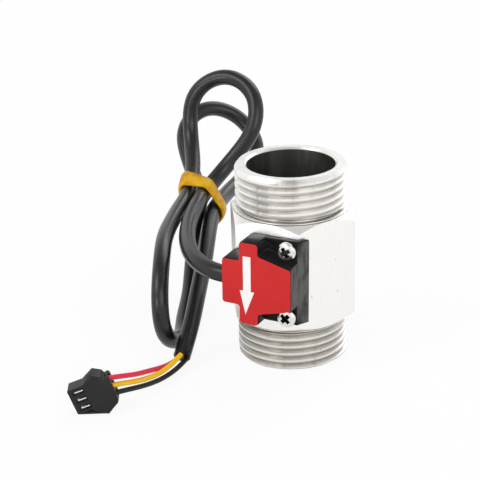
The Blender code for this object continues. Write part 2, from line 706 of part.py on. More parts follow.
def make_bush(name, bottom):
    inner = SHAFT_DIAMETER / 2 + GAP
    outer = inner + BUSH_WALL
    return smooth(ring(name, inner, outer, bottom, bottom + BUSH_LENGTH, BUSH_PLASTIC, SMALL_ROUND))


# Sensor housing: a flange with a lip round the hexagon's corner, and a raised box whose
# face has the outline of the label

def box_outline(inset):
    middle = HOUSING_Z
    half_column = COLUMN_HEIGHT / 2 - inset
    half_left = LEFT_ARM_HEIGHT / 2 - inset
    half_root = RIGHT_ARM_ROOT_HEIGHT / 2 - inset
    half_end = RIGHT_ARM_END_HEIGHT / 2 - inset
    return [
        (COLUMN_LEFT + inset, middle + half_column), (COLUMN_LEFT + inset, middle + half_left),
        (LEFT_ARM_END + inset, middle + half_left), (LEFT_ARM_END + inset, middle - half_left),
        (COLUMN_LEFT + inset, middle - half_left), (COLUMN_LEFT + inset, middle - half_column),
        (COLUMN_RIGHT - inset, middle - half_column), (COLUMN_RIGHT - inset, middle - half_root),
        (RIGHT_ARM_END - inset, middle - half_end), (RIGHT_ARM_END - inset, middle + half_end),
        (COLUMN_RIGHT - inset, middle + half_root), (COLUMN_RIGHT - inset, middle + half_column)]


def beside_corner(out, along):
    # a point beyond the hexagon's corner: out from the next flat, along it from the corner
    outward = Vector((math.cos(math.radians(30)), -math.sin(math.radians(30))))
    along_flat = Vector((math.sin(math.radians(30)), math.cos(math.radians(30))))
    corner = Vector((HEX_CORNER / 2, -FLAT))
    return tuple(corner + outward * out + along_flat * along)


def round_corner(front, out):
    # where a face in front of the flat meets one that lies out from the next flat
    x = (FLAT + out - front * math.sin(math.radians(30))) / math.cos(math.radians(30))
    return (x, -front)


def make_housing():
    low = FLANGE_Z - FLANGE_HEIGHT / 2
    high = FLANGE_Z + FLANGE_HEIGHT / 2
    back = FLANGE_BACK + FLANGE_RELIEF
    plan = [
        (FLANGE_LEFT, -FLANGE_FRONT), round_corner(FLANGE_FRONT, LIP_THICKNESS + GAP),
        beside_corner(LIP_THICKNESS + GAP, LIP_LENGTH), beside_corner(GAP, LIP_LENGTH),
        round_corner(back, GAP), (FLANGE_LEFT, -back)]
    housing = outline_solid("sensor_housing", plan, low, high, "TOP", HOUSING_PLASTIC)
    bevel(housing, BOX_EDGE, 2, 65)
    box = outline_solid("housing_box", rounded(box_outline(0), BOX_CORNER),
                        FLANGE_BACK, BOX_FRONT, "FRONT")
    bevel(box, BOX_EDGE, 2, 60)
    cavity = outline_solid("housing_cavity", rounded(box_outline(BOX_WALL), BOX_CORNER / 2),
                           FLANGE_BACK - 1, BOX_FRONT - BOX_WALL, "FRONT")
    recess = block("board_recess",
                   (BOARD_LEFT - GAP, -BOARD_BACK - BOARD_THICKNESS - GAP, BOARD_LOW - GAP),
                   (BOARD_LEFT + BOARD_WIDTH + GAP, -FLANGE_BACK + 1, BOARD_HIGH + GAP))
    seal_x, seal_z = SEAL_WINDOW_X + SEAL_WALL + GAP, SEAL_WINDOW_Z + SEAL_WALL + GAP
    seat = block("seal_recess", (-seal_x, -BOARD_BACK, HALL_Z - seal_z),
                 (seal_x, -FLANGE_BACK + 1, HALL_Z + seal_z))
    inlet = rod("cable_hole", CABLE_DIAMETER / 2 + GAP, -3, BOX_WALL + 2)
    inlet.rotation_euler = (0, math.radians(90), 0)
    inlet.location = (LEFT_ARM_END * MM, CABLE_EXIT_Y * MM, HOUSING_Z * MM)
    cut(join(housing, box), cavity, recess, seat, inlet)
    for side in (-1, 1):
        cut(housing, screw_hole("flange_hole", side, FLANGE_BACK - 1, FLANGE_FRONT + 1))
    return smooth(housing, 35)


def make_label():
    label = outline_solid("label", rounded(box_outline(LABEL_INSET), BOX_CORNER),
                          BOX_FRONT + LABEL_GAP, LABEL_FRONT, "FRONT", LABEL_RED)
    return smooth(label, 35)


def make_screw(name, side):
    head = SCREW_HEAD_DIAMETER / 2
    shank = SCREW_SHANK_DIAMETER / 2
    seat = FLANGE_FRONT + GAP
    top = seat + SCREW_HEAD_HEIGHT
    tip = FLAT - SCREW_DEPTH
    dome = [(head * math.sin(math.radians(a)), top - SCREW_DOME * (1 - math.cos(math.radians(a))))
            for a in (0, 30, 55, 75, 90)]
    screw = turned(name, dome + [(head, seat), (shank, seat), (shank, tip + SCREW_TIP),
                                 (shank - SCREW_TIP, tip), (0, tip)], SCREW_STEEL, SMALL_ROUND)
    half, reach = SCREW_SLOT / 2, SCREW_SLOT_LENGTH / 2
    slot = block(name + "_slot", (-reach, -half, top - SCREW_SLOT_DEPTH), (reach, half, top + 1))
    cross = block(name + "_cross", (-half, -reach, top - SCREW_SLOT_DEPTH - 0.05),
                  (half, reach, top + 1.05))
    height = FLANGE_Z + side * SCREW_SPACING / 2
    for piece in (screw, slot, cross):
        along_front(piece, SCREW_ACROSS, height)
    return smooth(cut(screw, slot, cross), 30)


# Hall sensor, its board, seal and inner leads

def make_board():
    board = block("circuit_board", (BOARD_LEFT, -BOARD_BACK - BOARD_THICKNESS, BOARD_LOW),
                  (BOARD_LEFT + BOARD_WIDTH, -BOARD_BACK, BOARD_HIGH), BOARD)
    return board


def make_hall():
    back = -FLAT + POCKET_DEPTH - GAP
    low = HALL_Z - HALL_HEIGHT / 2
    hall = block("hall_element", (-HALL_WIDTH / 2, back - HALL_THICKNESS, low),
                 (HALL_WIDTH / 2, back, low + HALL_HEIGHT), CHIP)
    front = back - HALL_THICKNESS
    for across in (-HALL_LEG_PITCH, 0, HALL_LEG_PITCH):
        leg = block("hall_leg", (across - HALL_LEG / 2, -BOARD_BACK + GAP, low + HALL_LEG_RISE),
                    (across + HALL_LEG / 2, front + HALL_LEG, low + HALL_LEG_RISE + HALL_LEG))
        join(hall, leg)
    return hall


def make_seal():
    # a foam frame between the flat and the board, round the pocket
    reach_x, reach_z = SEAL_WINDOW_X + SEAL_WALL, SEAL_WINDOW_Z + SEAL_WALL
    outline = [(-reach_x, HALL_Z - reach_z), (reach_x, HALL_Z - reach_z),
               (reach_x, HALL_Z + reach_z), (-reach_x, HALL_Z + reach_z)]
    seal = outline_solid("sensor_seal", rounded(outline, 1), FLANGE_BACK, SEAL_FRONT, "FRONT",
                         SEAL_RUBBER)
    hole = block("seal_window", (-SEAL_WINDOW_X, -SEAL_FRONT - 1, HALL_Z - SEAL_WINDOW_Z),
                 (SEAL_WINDOW_X, -FLANGE_BACK + 1, HALL_Z + SEAL_WINDOW_Z))
    return cut(seal, hole)


def core_offset(name):
    # the three cores sit in a triangle about the cable's centre
    turn = math.radians(CORE_TURN[name])
    return CORE_SPREAD * math.cos(turn), CORE_SPREAD * math.sin(turn)


def make_inner_lead(name, material):
    sideways, up = core_offset(name)
    start = CABLE_ROUTE[0][0] + GAP
    y = CABLE_EXIT_Y + sideways
    z = HOUSING_Z + up
    front = min(y, -BOARD_BACK - BOARD_THICKNESS - GAP - CORE_DIAMETER / 2)
    bend, straight, last = (start + run for run in LEAD_RUN)
    points = [(start, y, z), (bend, y, z), (straight, front, z), (last, front, z)]
    return cord("lead_" + name, points, LEAD_DIAMETER, material)


# Plug: a three way housing that stands on its narrow side, on the lower corner of its
# open end and the tip of its lower wing. It is made flat, with its length on +X, its
# width on Y and its wide face up, and is then set on edge.

def plug_pose():
    tilt = math.atan2(PLUG_WING_DOWN, PLUG_WING_AT)
    lift = PLUG_WIDTH / 2 * math.cos(tilt)
    place = Matrix.Translation((PLUG_NOSE[0] * MM, PLUG_NOSE[1] * MM, lift * MM))
    heading = Matrix.Rotation(math.radians(PLUG_HEADING), 4, "Z")
    on_edge = Matrix.Rotation(math.radians(90), 4, "X")
    return place @ heading @ on_edge @ Matrix.Rotation(tilt, 4, "Z")


def in_plug(thing):
    thing.matrix_basis = plug_pose() @ thing.matrix_basis
    return thing


def plug_place(along, across, height):
    return tuple(plug_pose() @ Vector((along * MM, across * MM, height * MM)) / MM)


def make_plug():
    half = PLUG_WIDTH / 2
    back = PLUG_LENGTH
    tip = PLUG_WING_AT
    low, high = -half - PLUG_WING_DOWN, half + PLUG_WING_UP
    start = tip - PLUG_WING_RAMP
    fall, drop = PLUG_WING_FALL
    toe, out = PLUG_REAR_TOE
    cut_back, cut_out = PLUG_REAR_CUT
    rear, notch = PLUG_REAR_INSET
    outline = [
        (0, -half), (start, -half), (tip, low), (tip + fall, low + drop), (back - toe, -half - out),
        (back, -half), (back, half - rear), (back - cut_back, half - rear + cut_out),
        (tip + fall + notch / 2, half - notch), (tip + fall, high - drop), (tip, high),
        (start, half), (0, half)]
    plug = outline_solid("plug_housing", rounded(outline, 0.3, 1), 0, PLUG_THICKNESS, "TOP",
                         HOUSING_PLASTIC)
    bevel(plug, PLUG_EDGE, 1, 50)
    face = PLUG_THICKNESS
    step = block("plug_face_step", (-1, -half - 1, face - PLUG_FACE_STEP),
                 (PLUG_WINDOW[1], half + 1, face + 1))
    socket = block("plug_socket", (-1, -half + PLUG_SIDE_WALL, PLUG_WALL),
                   (PLUG_SOCKET_DEPTH, half - PLUG_SIDE_WALL, face - PLUG_WALL))
    cut(in_plug(plug), in_plug(step), in_plug(socket))
    for i in (-1, 0, 1):
        across = i * PLUG_PITCH
        window = block("plug_window", (PLUG_WINDOW[0], across - PLUG_WINDOW_WIDTH / 2, face / 2),
                       (PLUG_WINDOW[1], across + PLUG_WINDOW_WIDTH / 2, face + 1))
        hole = rod("core_hole", CORE_DIAMETER / 2 + GAP, -PLUG_HOLE_DEPTH, 1)
        hole.rotation_euler = (0, math.radians(90), 0)
        hole.location = (back * MM, across * MM, face / 2 * MM)
        bpy.context.view_layer.update()
        cut(plug, in_plug(window), in_plug(hole))
    return smooth(plug, 30)


def make_contact(index):
    # a strip along the socket's ceiling, with a tab that shows in the window
    across = (index - 1) * PLUG_PITCH
    half = CONTACT_WIDTH / 2
    high = PLUG_THICKNESS - PLUG_WALL - GAP
    contact = block("plug_contact_%d" % (index + 1),
                    (0.6, across - half, high - CONTACT_THICKNESS),
                    (PLUG_SOCKET_DEPTH - GAP, across + half, high), CONTACT_METAL)
    tab = block("contact_tab", (PLUG_WINDOW[0] + GAP, across - half + 0.02, high - 0.2),
                (PLUG_WINDOW[1] - GAP, across + half - 0.02, high - 0.2 + CONTACT_RISE))
    return join(in_plug(contact), in_plug(tab))


def make_core(name, way, material):
    sideways, up = core_offset(name)
    end = Vector(CABLE_ROUTE[-1])
    heading = (end - Vector(CABLE_ROUTE[-2])).normalized()
    side = Vector((0, 0, 1)).cross(heading).normalized()
    over = heading.cross(side)
    start = end + heading * GAP + side * sideways + over * up
    plug_back = plug_place(PLUG_LENGTH + CORE_DIAMETER / 2, way * PLUG_PITCH, PLUG_THICKNESS / 2)
    plug_in = plug_place(PLUG_LENGTH - PLUG_HOLE_DEPTH + GAP, way * PLUG_PITCH, PLUG_THICKNESS / 2)
    points = [tuple(start), tuple(start + heading), *CORE_MIDDLES[name], plug_back, plug_in]
    return cord("core_" + name, smooth_route(points, CORE_POINT_COUNT), CORE_DIAMETER, material)


make_flow_body()
make_retaining_ring()
make_guide()
make_spider()
make_shaft()
make_rotor()
make_magnet()
make_bush("rotor_bush_lower", ROTOR_Z + GAP)
make_bush("rotor_bush_upper", ROTOR_TOP - GAP - BUSH_LENGTH)

make_housing()
make_label()
make_screw("screw_upper", 1)
make_screw("screw_lower", -1)
make_seal()
make_board()
make_hall()
CORES = {"red": CORE_RED, "yellow": CORE_YELLOW, "black": CABLE_BLACK}
for core, core_material in CORES.items():
    make_inner_lead(core, core_material)

cord("cable_jacket", smooth_route(CABLE_ROUTE, CABLE_POINT_COUNT), CABLE_DIAMETER, CABLE_BLACK)
cord("cable_band", smooth_route(BAND_ROUTE, BAND_POINT_COUNT, closed=True), BAND_DIAMETER,
     BAND_RUBBER, closed=True)
make_plug()
for number in range(3):
    make_contact(number)
for way, (core, core_material) in zip((1, 0, -1), CORES.items()):
    make_core(core, way, core_material)
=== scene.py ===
import math

import bmesh
import bpy
import numpy as np
from mathutils import Matrix, Vector


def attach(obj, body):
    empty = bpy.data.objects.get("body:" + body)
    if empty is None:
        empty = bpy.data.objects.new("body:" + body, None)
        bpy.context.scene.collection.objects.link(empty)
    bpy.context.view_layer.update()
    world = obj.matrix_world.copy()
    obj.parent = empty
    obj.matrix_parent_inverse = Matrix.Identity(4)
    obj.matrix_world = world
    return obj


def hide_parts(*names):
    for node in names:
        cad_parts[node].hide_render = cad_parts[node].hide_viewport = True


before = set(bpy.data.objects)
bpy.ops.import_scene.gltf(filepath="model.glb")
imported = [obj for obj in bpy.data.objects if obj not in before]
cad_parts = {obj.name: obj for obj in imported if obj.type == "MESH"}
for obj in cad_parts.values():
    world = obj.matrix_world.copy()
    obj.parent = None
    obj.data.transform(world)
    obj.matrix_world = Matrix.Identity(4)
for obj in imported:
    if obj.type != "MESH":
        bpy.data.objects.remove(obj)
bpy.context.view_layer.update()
print("frame loaded")

mm = 0.001
boreY = 4.175 * mm  # the bore axis stands here on the Y axis
boreAxis = (0, boreY, 0)


# Camera at the photograph's angle

camera = {
    "place": (173.1475, -377.5266, 205.7701),  # mm
    "right": (0.89915, 0.43688, -0.02587),
    "up": (-0.14285, 0.34886, 0.92622),
    "lens": 113.7,
    "sensor": 36,
}


def makeCamera():
    bpy.ops.object.camera_add()
    made = bpy.context.object
    made.name = "camera"
    right, up = Vector(camera["right"]).normalized(), Vector(camera["up"]).normalized()
    turn = Matrix((right, up, right.cross(up))).transposed().to_4x4()
    made.matrix_world = Matrix.Translation(Vector(camera["place"]) * mm) @ turn
    made.data.lens = camera["lens"]
    made.data.sensor_width = camera["sensor"]
    made.data.clip_start, made.data.clip_end = 0.01, 20
    bpy.context.scene.camera = made


makeCamera()


# Selecting and shaping in edit mode

def deselect():
    bpy.ops.object.select_all(action="DESELECT")


def selectOnly(thing):
    deselect()
    thing.select_set(True)
    bpy.context.view_layer.objects.active = thing


def startEdit(thing):
    # opens it with all of it selected
    selectOnly(thing)
    bpy.ops.object.mode_set(mode="EDIT")
    bpy.ops.mesh.select_all(action="SELECT")


def endEdit():
    bpy.ops.object.mode_set(mode="OBJECT")


def pick(kind, test):
    # selects only the faces or edges that pass the test, in edit mode
    bpy.ops.mesh.select_mode(type=kind)
    bpy.ops.mesh.select_all(action="DESELECT")
    mesh = bmesh.from_edit_mesh(bpy.context.object.data)
    for part in mesh.faces if kind == "FACE" else mesh.edges:
        part.select = bool(test(part))
    mesh.select_flush_mode()
    bmesh.update_edit_mesh(bpy.context.object.data)


def facesUp(face):
    return face.normal.z > 0.9


def facesDown(face):
    return face.normal.z < -0.9


def extrudeBy(*move):
    bpy.ops.mesh.extrude_region_move(TRANSFORM_OT_translate={"value": move})


def resizeBy(shares, centre):
    bpy.ops.transform.resize(value=shares, center_override=centre)


def applyPlace(thing):
    selectOnly(thing)
    bpy.ops.object.transform_apply(location=True, rotation=True, scale=True)
    return thing


def applyStep(thing, kind, **settings):
    selectOnly(thing)
    step = thing.modifiers.new(kind.lower(), kind)
    for key, value in settings.items():
        setattr(step, key, value)
    bpy.ops.object.modifier_apply(modifier=step.name)
    return thing


def carve(thing, other, operation="DIFFERENCE"):
    applyStep(thing, "BOOLEAN", object=other, operation=operation, solver="EXACT")
    bpy.data.objects.remove(other, do_unlink=True)
    return thing


def roundEdges(thing, width, angle):
    return applyStep(thing, "BEVEL", width=width * mm, segments=2, limit_method="ANGLE",
                     angle_limit=math.radians(angle), harden_normals=False)


def tidyMesh(thing, merge=0.004, angle=32):
    startEdit(thing)
    bpy.ops.mesh.remove_doubles(threshold=merge * mm)
    bpy.ops.mesh.normals_make_consistent(inside=False)
    endEdit()
    applyPlace(thing)
    bpy.ops.object.shade_smooth_by_angle(angle=math.radians(angle))


def addObject(name, data):
    thing = bpy.data.objects.new(name, data)
    bpy.context.scene.collection.objects.link(thing)
    return thing


def addMesh(name, places, faces):
    mesh = bpy.data.meshes.new(name)
    mesh.from_pydata(places, [], faces)
    return addObject(name, mesh)


def finishPiece(thing, name, body, look, nodes=()):
    thing.name = name
    if look:
        thing.data.materials.clear()
        thing.data.materials.append(look)
    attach(thing, body)
    if nodes:
        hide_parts(*nodes)
    return thing


def turnedSolid(rings, sides, centre=boreAxis):
    # rings: (radius, height) in mm, extruded one after another from a filled circle
    deselect()
    x, y, z = centre
    bpy.ops.mesh.primitive_circle_add(vertices=sides, radius=rings[0][0] * mm, fill_type="NGON",
                                      location=(x, y, z + rings[0][1] * mm))
    thing = bpy.context.object
    startEdit(thing)
    for (r0, z0), (r1, z1) in zip(rings, rings[1:]):
        extrudeBy(0, 0, (z1 - z0) * mm)
        resizeBy((r1 / r0, r1 / r0, 1), (x, y, z + z1 * mm))
    bpy.ops.mesh.select_all(action="SELECT")
    bpy.ops.mesh.normals_make_consistent(inside=False)
    endEdit()
    return applyPlace(thing)


def turnBy(thing, degrees, axis="Z", centre=boreAxis):
    # with no window the operator turns the other way, hence the minus
    startEdit(thing)
    bpy.ops.transform.rotate(value=math.radians(-degrees), orient_axis=axis, center_override=centre)
    endEdit()
    return thing


# Materials. Wire lets Python's operators add Math nodes; Graph makes every other node.

class Wire:
    def __init__(self, graph, socket):
        self.graph, self.socket = graph, socket

    def calc(self, operation, *values):
        return self.graph.node("ShaderNodeMath", {"operation": operation}, dict(enumerate(values)))

    def __add__(self, other):
        return self.calc("ADD", self, other)

    def __radd__(self, other):
        return self.calc("ADD", other, self)

    def __sub__(self, other):
        return self.calc("SUBTRACT", self, other)

    def __rsub__(self, other):
        return self.calc("SUBTRACT", other, self)

    def __mul__(self, other):
        return self.calc("MULTIPLY", self, other)

    def __rmul__(self, other):
        return self.calc("MULTIPLY", other, self)

    def __truediv__(self, other):
        return self.calc("DIVIDE", self, other)

    def __gt__(self, other):
        return self.calc("GREATER_THAN", self, other)

    def __lt__(self, other):
        return self.calc("LESS_THAN", self, other)

    def root(self):
        return self.calc("SQRT", self)

    def size(self):
        return self.calc("ABSOLUTE", self)

    def within(self, low, high):
        return (self > low) * (self < high)

    def ramp(self, low, high, start=0.0, end=1.0):
        # from start at low to end at high, smooth between
        return self.graph.node("ShaderNodeMapRange", {"interpolation_type": "SMOOTHSTEP"}, {
            "Value": self, "From Min": low, "From Max": high, "To Min": start, "To Max": end})


class Graph:
    def __init__(self, owner):
        owner.use_nodes = True
        self.owner, self.tree = owner, owner.node_tree

    def node(self, kind, settings=None, values=None, out=0):
        made = self.tree.nodes.new(kind)
        for key, value in (settings or {}).items():
            setattr(made, key, value)
        for key, value in (values or {}).items():
            self.feed(made.inputs[key], value)
        return Wire(self, made.outputs[out])

    def feed(self, socket, value):
        if isinstance(value, Wire):
            self.tree.links.new(value.socket, socket)
            return
        if isinstance(value, tuple) and socket.type == "RGBA":
            value = (*value, 1)
        socket.default_value = value


class Look(Graph):
    def __init__(self, name, **constants):
        super().__init__(bpy.data.materials.new(name))
        self.material = self.owner
        self.shader = self.tree.nodes["Principled BSDF"]
        self.place = self.node("ShaderNodeTexCoord", out="Object")
        self.set(**constants)

    def set(self, **values):
        # Base_Color=..., Roughness=... on the shader
        for key, value in values.items():
            self.feed(self.shader.inputs[key.replace("_", " ")], value)

    def xyz(self):
        return [self.node("ShaderNodeSeparateXYZ", {}, {0: self.place}, out) for out in "XYZ"]

    def noise(self, cells, detail, rough, place=None):
        # cells to a metre: one number, or one for each axis
        stretch = cells if isinstance(cells, tuple) else (cells,) * 3
        moved = self.node("ShaderNodeMapping", {}, {"Vector": place or self.place, "Scale": stretch})
        return self.node("ShaderNodeTexNoise", {}, {
            "Vector": moved, "Scale": 1.0, "Detail": detail, "Roughness": rough})

    def mix(self, share, first, second):
        return self.node("ShaderNodeMix", {"data_type": "RGBA"}, {0: share, 6: first, 7: second}, 2)

    def bump(self, height, distance, strength):
        self.set(Normal=self.node("ShaderNodeBump", {}, {
            "Height": height, "Distance": distance, "Strength": strength}))
        return self


steel = {
    # where each part of the surface lies, in mm: radii, heights from the body's middle, heights from its foot
    "hexRadius": 17.0, "seamRadius": 17.4, "bore": (13.0, 13.3), "flank": (15.3, 16.4), "root": (14.95, 15.5),
    "middle": 30, "hexHalf": 17.1, "thread": (17.05, 29.2), "seam": (16.5, 16.85), "end": 29.9,
    "lowEnd": (11, 13.2), "foot": (0.2, 1.3),
    # colours, the darker one first where there are two
    "turnedColour": [(0.86, 0.85, 0.83), (0.97, 0.96, 0.94)],
    "milledColour": [(0.90, 0.885, 0.86), (1.0, 0.985, 0.955)],
    # the bore colours are painted shade inside the bore
    "boreShadeColour": [(0.27, 0.27, 0.235), (0.38, 0.38, 0.34)],
    # the foot colour is painted shade where the body stands on the floor
    # the low colour is painted shade towards the bottom
    "endColour": (0.79, 0.785, 0.775), "lowShadeColour": (0.50, 0.475, 0.43), "footShadeColour": (0.26, 0.25, 0.23),
    # the flank colours are painted shade on the thread flanks
    "flankShadeColour": (0.74, 0.715, 0.675), "lowFlankShadeColour": (0.60, 0.57, 0.52),
    # the root colour is painted shade, with some dirt, in the roots and grooves
    # the streak colour is partly grain, partly painted dark reflection
    "rootShadeAndDirtColour": (0.16, 0.15, 0.135), "streakAndReflectionColour": (0.45, 0.44, 0.42), "speckColour": (0.2, 0.19, 0.17),
    # painted dark reflections, in dull patches: azimuth and half width in degrees, lowest and highest point
    # in mm
    "marks": [
        {"way": -97, "wide": 11, "low": 47.2, "high": 58, "share": 0.55},
        {"way": -69, "wide": 23, "low": 58.6, "high": 59.7, "share": 0.55},
        {"way": 60, "wide": 12, "low": 1, "high": 11, "share": 0.4},
    ],
    # the mark colour is that of the painted dark reflections
    "paintedReflectionColour": (0.16, 0.155, 0.145), "markRadius": 15.75, "markFadeLow": 0.4, "markFadeHigh": 0.3,
}


def steelLook():
    look = Look("brushedTurnedSteel", Metallic=1.0)
    x, y, z = look.xyz()
    acrossY = y - boreY
    radius = (x * x + acrossY * acrossY).root()
    wayX, wayY = x / radius, acrossY / radius
    fromMiddle = (z - steel["middle"] * mm).size()

    def limits(name):
        return [limit * mm for limit in steel[name]]

    hexRadius = steel["hexRadius"] * mm
    onHexagon = (radius > hexRadius) * (fromMiddle < steel["hexHalf"] * mm)
    onThread = fromMiddle.within(*limits("thread"))
    onEnd = fromMiddle > steel["end"] * mm
    inBore = 1 - radius.ramp(*limits("bore"))
    flank = onThread * (1 - radius.ramp(*limits("flank")))
    root = onThread * (1 - radius.ramp(*limits("root")))
    seam = radius.within(hexRadius, steel["seamRadius"] * mm) * fromMiddle.within(*limits("seam"))
    lowEnd = 1 - z.ramp(*limits("lowEnd"))
    foot = (1 - z.ramp(*limits("foot"))) * 0.6

    turned = look.node("ShaderNodeCombineXYZ", {}, {0: radius, 2: z})
    around = look.node("ShaderNodeCombineXYZ", {}, {0: wayX, 1: wayY, 2: z * 12})
    grain = look.noise((2600, 2600, 55), 3, 0.6)
    lathe = look.noise(5200, 2, 0.6, turned)
    streak = look.noise(5, 3, 0.6, around)
    fineStreak = look.noise((17, 17, 5), 4, 0.55, around)
    speck = look.noise(1100, 1, 0.4)
    lines = grain * onHexagon + lathe * (1 - onHexagon)

    turnedColour = look.mix(lines, *steel["turnedColour"])
    milledColour = look.mix(lines, *steel["milledColour"])
    # painted shade on the thread flanks, darker towards the bottom
    flankShadeColour = look.mix(lowEnd, steel["flankShadeColour"], steel["lowFlankShadeColour"])
    colour = look.mix(onHexagon, turnedColour, milledColour)
    colour = look.mix(onEnd * 0.9, colour, steel["endColour"])
    # painted shade: darker towards the bottom, broken by streaks
    colour = look.mix(lowEnd * (0.25 + streak * 0.3), colour, steel["lowShadeColour"])
    # painted shade at the foot, where the body stands on the floor
    colour = look.mix(foot, colour, steel["footShadeColour"])
    colour = look.mix(flank * (1 - foot), colour, flankShadeColour)
    # painted shade, with some dirt, in the thread roots, the neck and the fine groove at each collar
    colour = look.mix(root * 0.85 + seam * 0.8, colour, steel["rootShadeAndDirtColour"])
    # random dark streaks round the turned surfaces: partly grain, partly painted dark reflections
    colour = look.mix((1 - onHexagon) * streak.ramp(0.5, 0.72) * 0.3, colour, steel["streakAndReflectionColour"])
    # painted dark reflections, each at its azimuth and heights
    for darkReflection in steel["marks"]:
        turn, low, high = math.radians(darkReflection["way"]), darkReflection["low"], darkReflection["high"]
        facing = wayX * math.cos(turn) + wayY * math.sin(turn)
        share = facing.ramp(math.cos(math.radians(darkReflection["wide"])), 1.0)
        share = share * z.ramp((low - steel["markFadeLow"]) * mm, low * mm)
        share = share * (1 - z.ramp(high * mm, (high + steel["markFadeHigh"]) * mm))
        share = share * (0.35 + fineStreak.ramp(0.3, 0.75) * 0.65) * darkReflection["share"]
        colour = look.mix(share * (radius > steel["markRadius"] * mm), colour, steel["paintedReflectionColour"])
    colour = look.mix(speck.ramp(0.75, 0.81) * 0.5, colour, steel["speckColour"])
    # painted shade inside the bore
    boreShadeColour = look.mix(streak.ramp(0.35, 0.75), *steel["boreShadeColour"])
    look.set(Base_Color=look.mix(inBore, colour, boreShadeColour), Roughness=0.2 + lines * 0.14 + streak * 0.1)
    return look.bump(lines, 0.02 * mm, 0.5).material


def housingLook():
    # nearly black, with a painted highlight: the side that faces +X is painted lighter grey in patches
    look = Look("housingPlastic", Specular_IOR_Level=0.12)
    normal = look.node("ShaderNodeTexCoord", out="Normal")
    toSide = look.node("ShaderNodeSeparateXYZ", {}, {0: normal}, "X").ramp(0.45, 0.95)
    x = look.xyz()[0]
    fine = look.noise(5200, 2, 0.6)
    scuff = look.noise((420, 420, 160), 3, 0.6)
    # painted highlight on the side facing +X, broken into patches by the scuff noise
    paintedSideLightShare = toSide * scuff.ramp(0.2, 0.6) * x.ramp(5 * mm, 8 * mm)
    look.set(Base_Color=look.mix(paintedSideLightShare, (0.0055, 0.0055, 0.006), (0.115, 0.115, 0.11)),
             Roughness=0.26 + fine * 0.06 + paintedSideLightShare * 0.2)
    return look.bump(fine, 0.01 * mm, 0.5).material


def plasticLook(name, colour, rough, grain=0.012, spread=0.15, shine=0.5):
    look = Look(name, Specular_IOR_Level=shine)
    fine = look.noise(5200, 2, 0.6)
    broad = look.noise(130, 3, 0.55)
    darker = tuple(c * (1 - spread) for c in colour)
    lighter = tuple(min(1, c * (1 + spread)) for c in colour)
    look.set(Base_Color=look.mix(broad, darker, lighter), Roughness=rough - 0.06 + fine * 0.06 + broad * 0.07)
    return look.bump(fine, grain * mm, 0.5).material


def metalLook(name, colour, rough):
    look = Look(name, Metallic=1.0)
    fine = look.noise(3000, 3, 0.6)
    broad = look.noise(300, 2, 0.5)
    darker = tuple(c * 0.88 for c in colour)
    look.set(Base_Color=look.mix(broad, darker, colour), Roughness=rough + fine * 0.1)
    return look.bump(fine, 0.004 * mm, 0.5).material


def rubberLook(name, colour, rough, dust=0.12, shine=0.5):
    # one colour with pale dust and long faint scuffs
    look = Look(name, Specular_IOR_Level=shine)
    fine = look.noise(2400, 3, 0.6)
    scuff = look.noise((90, 90, 700), 3, 0.6)
    pale = tuple(min(1, c + dust * 0.25) for c in colour)
    look.set(Base_Color=look.mix(scuff.ramp(0.5, 0.8) * 0.5, colour, pale),
             Roughness=rough - 0.08 + scuff * 0.12 + fine * 0.06)
    return look.bump(fine, 0.015 * mm, 0.5).material


def bandLook():
    # amber, lumpy and darker in places
    look = Look("amberRubber", Specular_IOR_Level=0.12)
    lumps = look.noise(260, 2, 0.5)
    fine = look.noise(2400, 3, 0.6)
    look.set(Base_Color=look.mix(lumps.ramp(0.35, 0.62), (0.56, 0.25, 0.003), (0.76, 0.43, 0.006)),
             Roughness=0.32 + fine * 0.1)
    return look.bump(lumps, 0.25 * mm, 0.6).material


def filmLook():
    look = Look("redLabelFilm", Specular_IOR_Level=0.2)
    fine = look.noise(1800, 3, 0.6)
    broad = look.noise(160, 2, 0.5)
    look.set(Base_Color=look.mix(broad, (0.54, 0.016, 0.017), (0.60, 0.021, 0.022)),
             Roughness=0.40 + fine * 0.08)
    return look.bump(fine, 0.006 * mm, 0.4).material


looks = {
    "steel": steelLook(),
    "spring": metalLook("springSteel", (0.5, 0.5, 0.5), 0.3),
    "screw": metalLook("brightPlate", (0.83, 0.82, 0.80), 0.14),
    "recess": metalLook("recessShade", (0.05, 0.05, 0.045), 0.4),
    "shaft": metalLook("shaftSteel", (0.6, 0.6, 0.58), 0.25),
    "contact": metalLook("tinnedContact", (0.90, 0.90, 0.89), 0.22),
    "magnet": plasticLook("ferrite", (0.05, 0.05, 0.055), 0.5, 0.02),
    "rotor": plasticLook("rotorPlastic", (0.55, 0.56, 0.56), 0.42),
    "support": plasticLook("supportPlastic", (0.03, 0.03, 0.032), 0.42),
    "housing": housingLook(),
    "plug": plasticLook("plugPlastic", (0.017, 0.0175, 0.018), 0.44, 0.012, shine=0.2),
    "bush": plasticLook("bushPlastic", (0.75, 0.74, 0.68), 0.35),
    "seal": rubberLook("sealFoam", (0.09, 0.09, 0.09), 0.8),
    "board": plasticLook("boardMask", (0.02, 0.16, 0.06), 0.4),
    "chip": plasticLook("chipEpoxy", (0.02, 0.02, 0.02), 0.5),
    "label": filmLook(),
    "arrow": plasticLook("arrowWhite", (0.86, 0.86, 0.85), 0.45, 0.004, 0.02, 0.2),
    "jacket": rubberLook("cableJacket", (0.0065, 0.0069, 0.0078), 0.28, 0.04, 0.45),
    "red": rubberLook("redInsulation", (0.78, 0.03, 0.07), 0.36, 0.05, 0.25),
    "yellow": rubberLook("yellowInsulation", (1.0, 0.57, 0.004), 0.34, 0.0, 0.3),
    "black": rubberLook("blackInsulation", (0.0095, 0.0095, 0.010), 0.32, 0.03, 0.3),
    "band": bandLook(),
}
print("materials made")


# Cable: the route that the CAD cable follows, about the bore axis, in mm

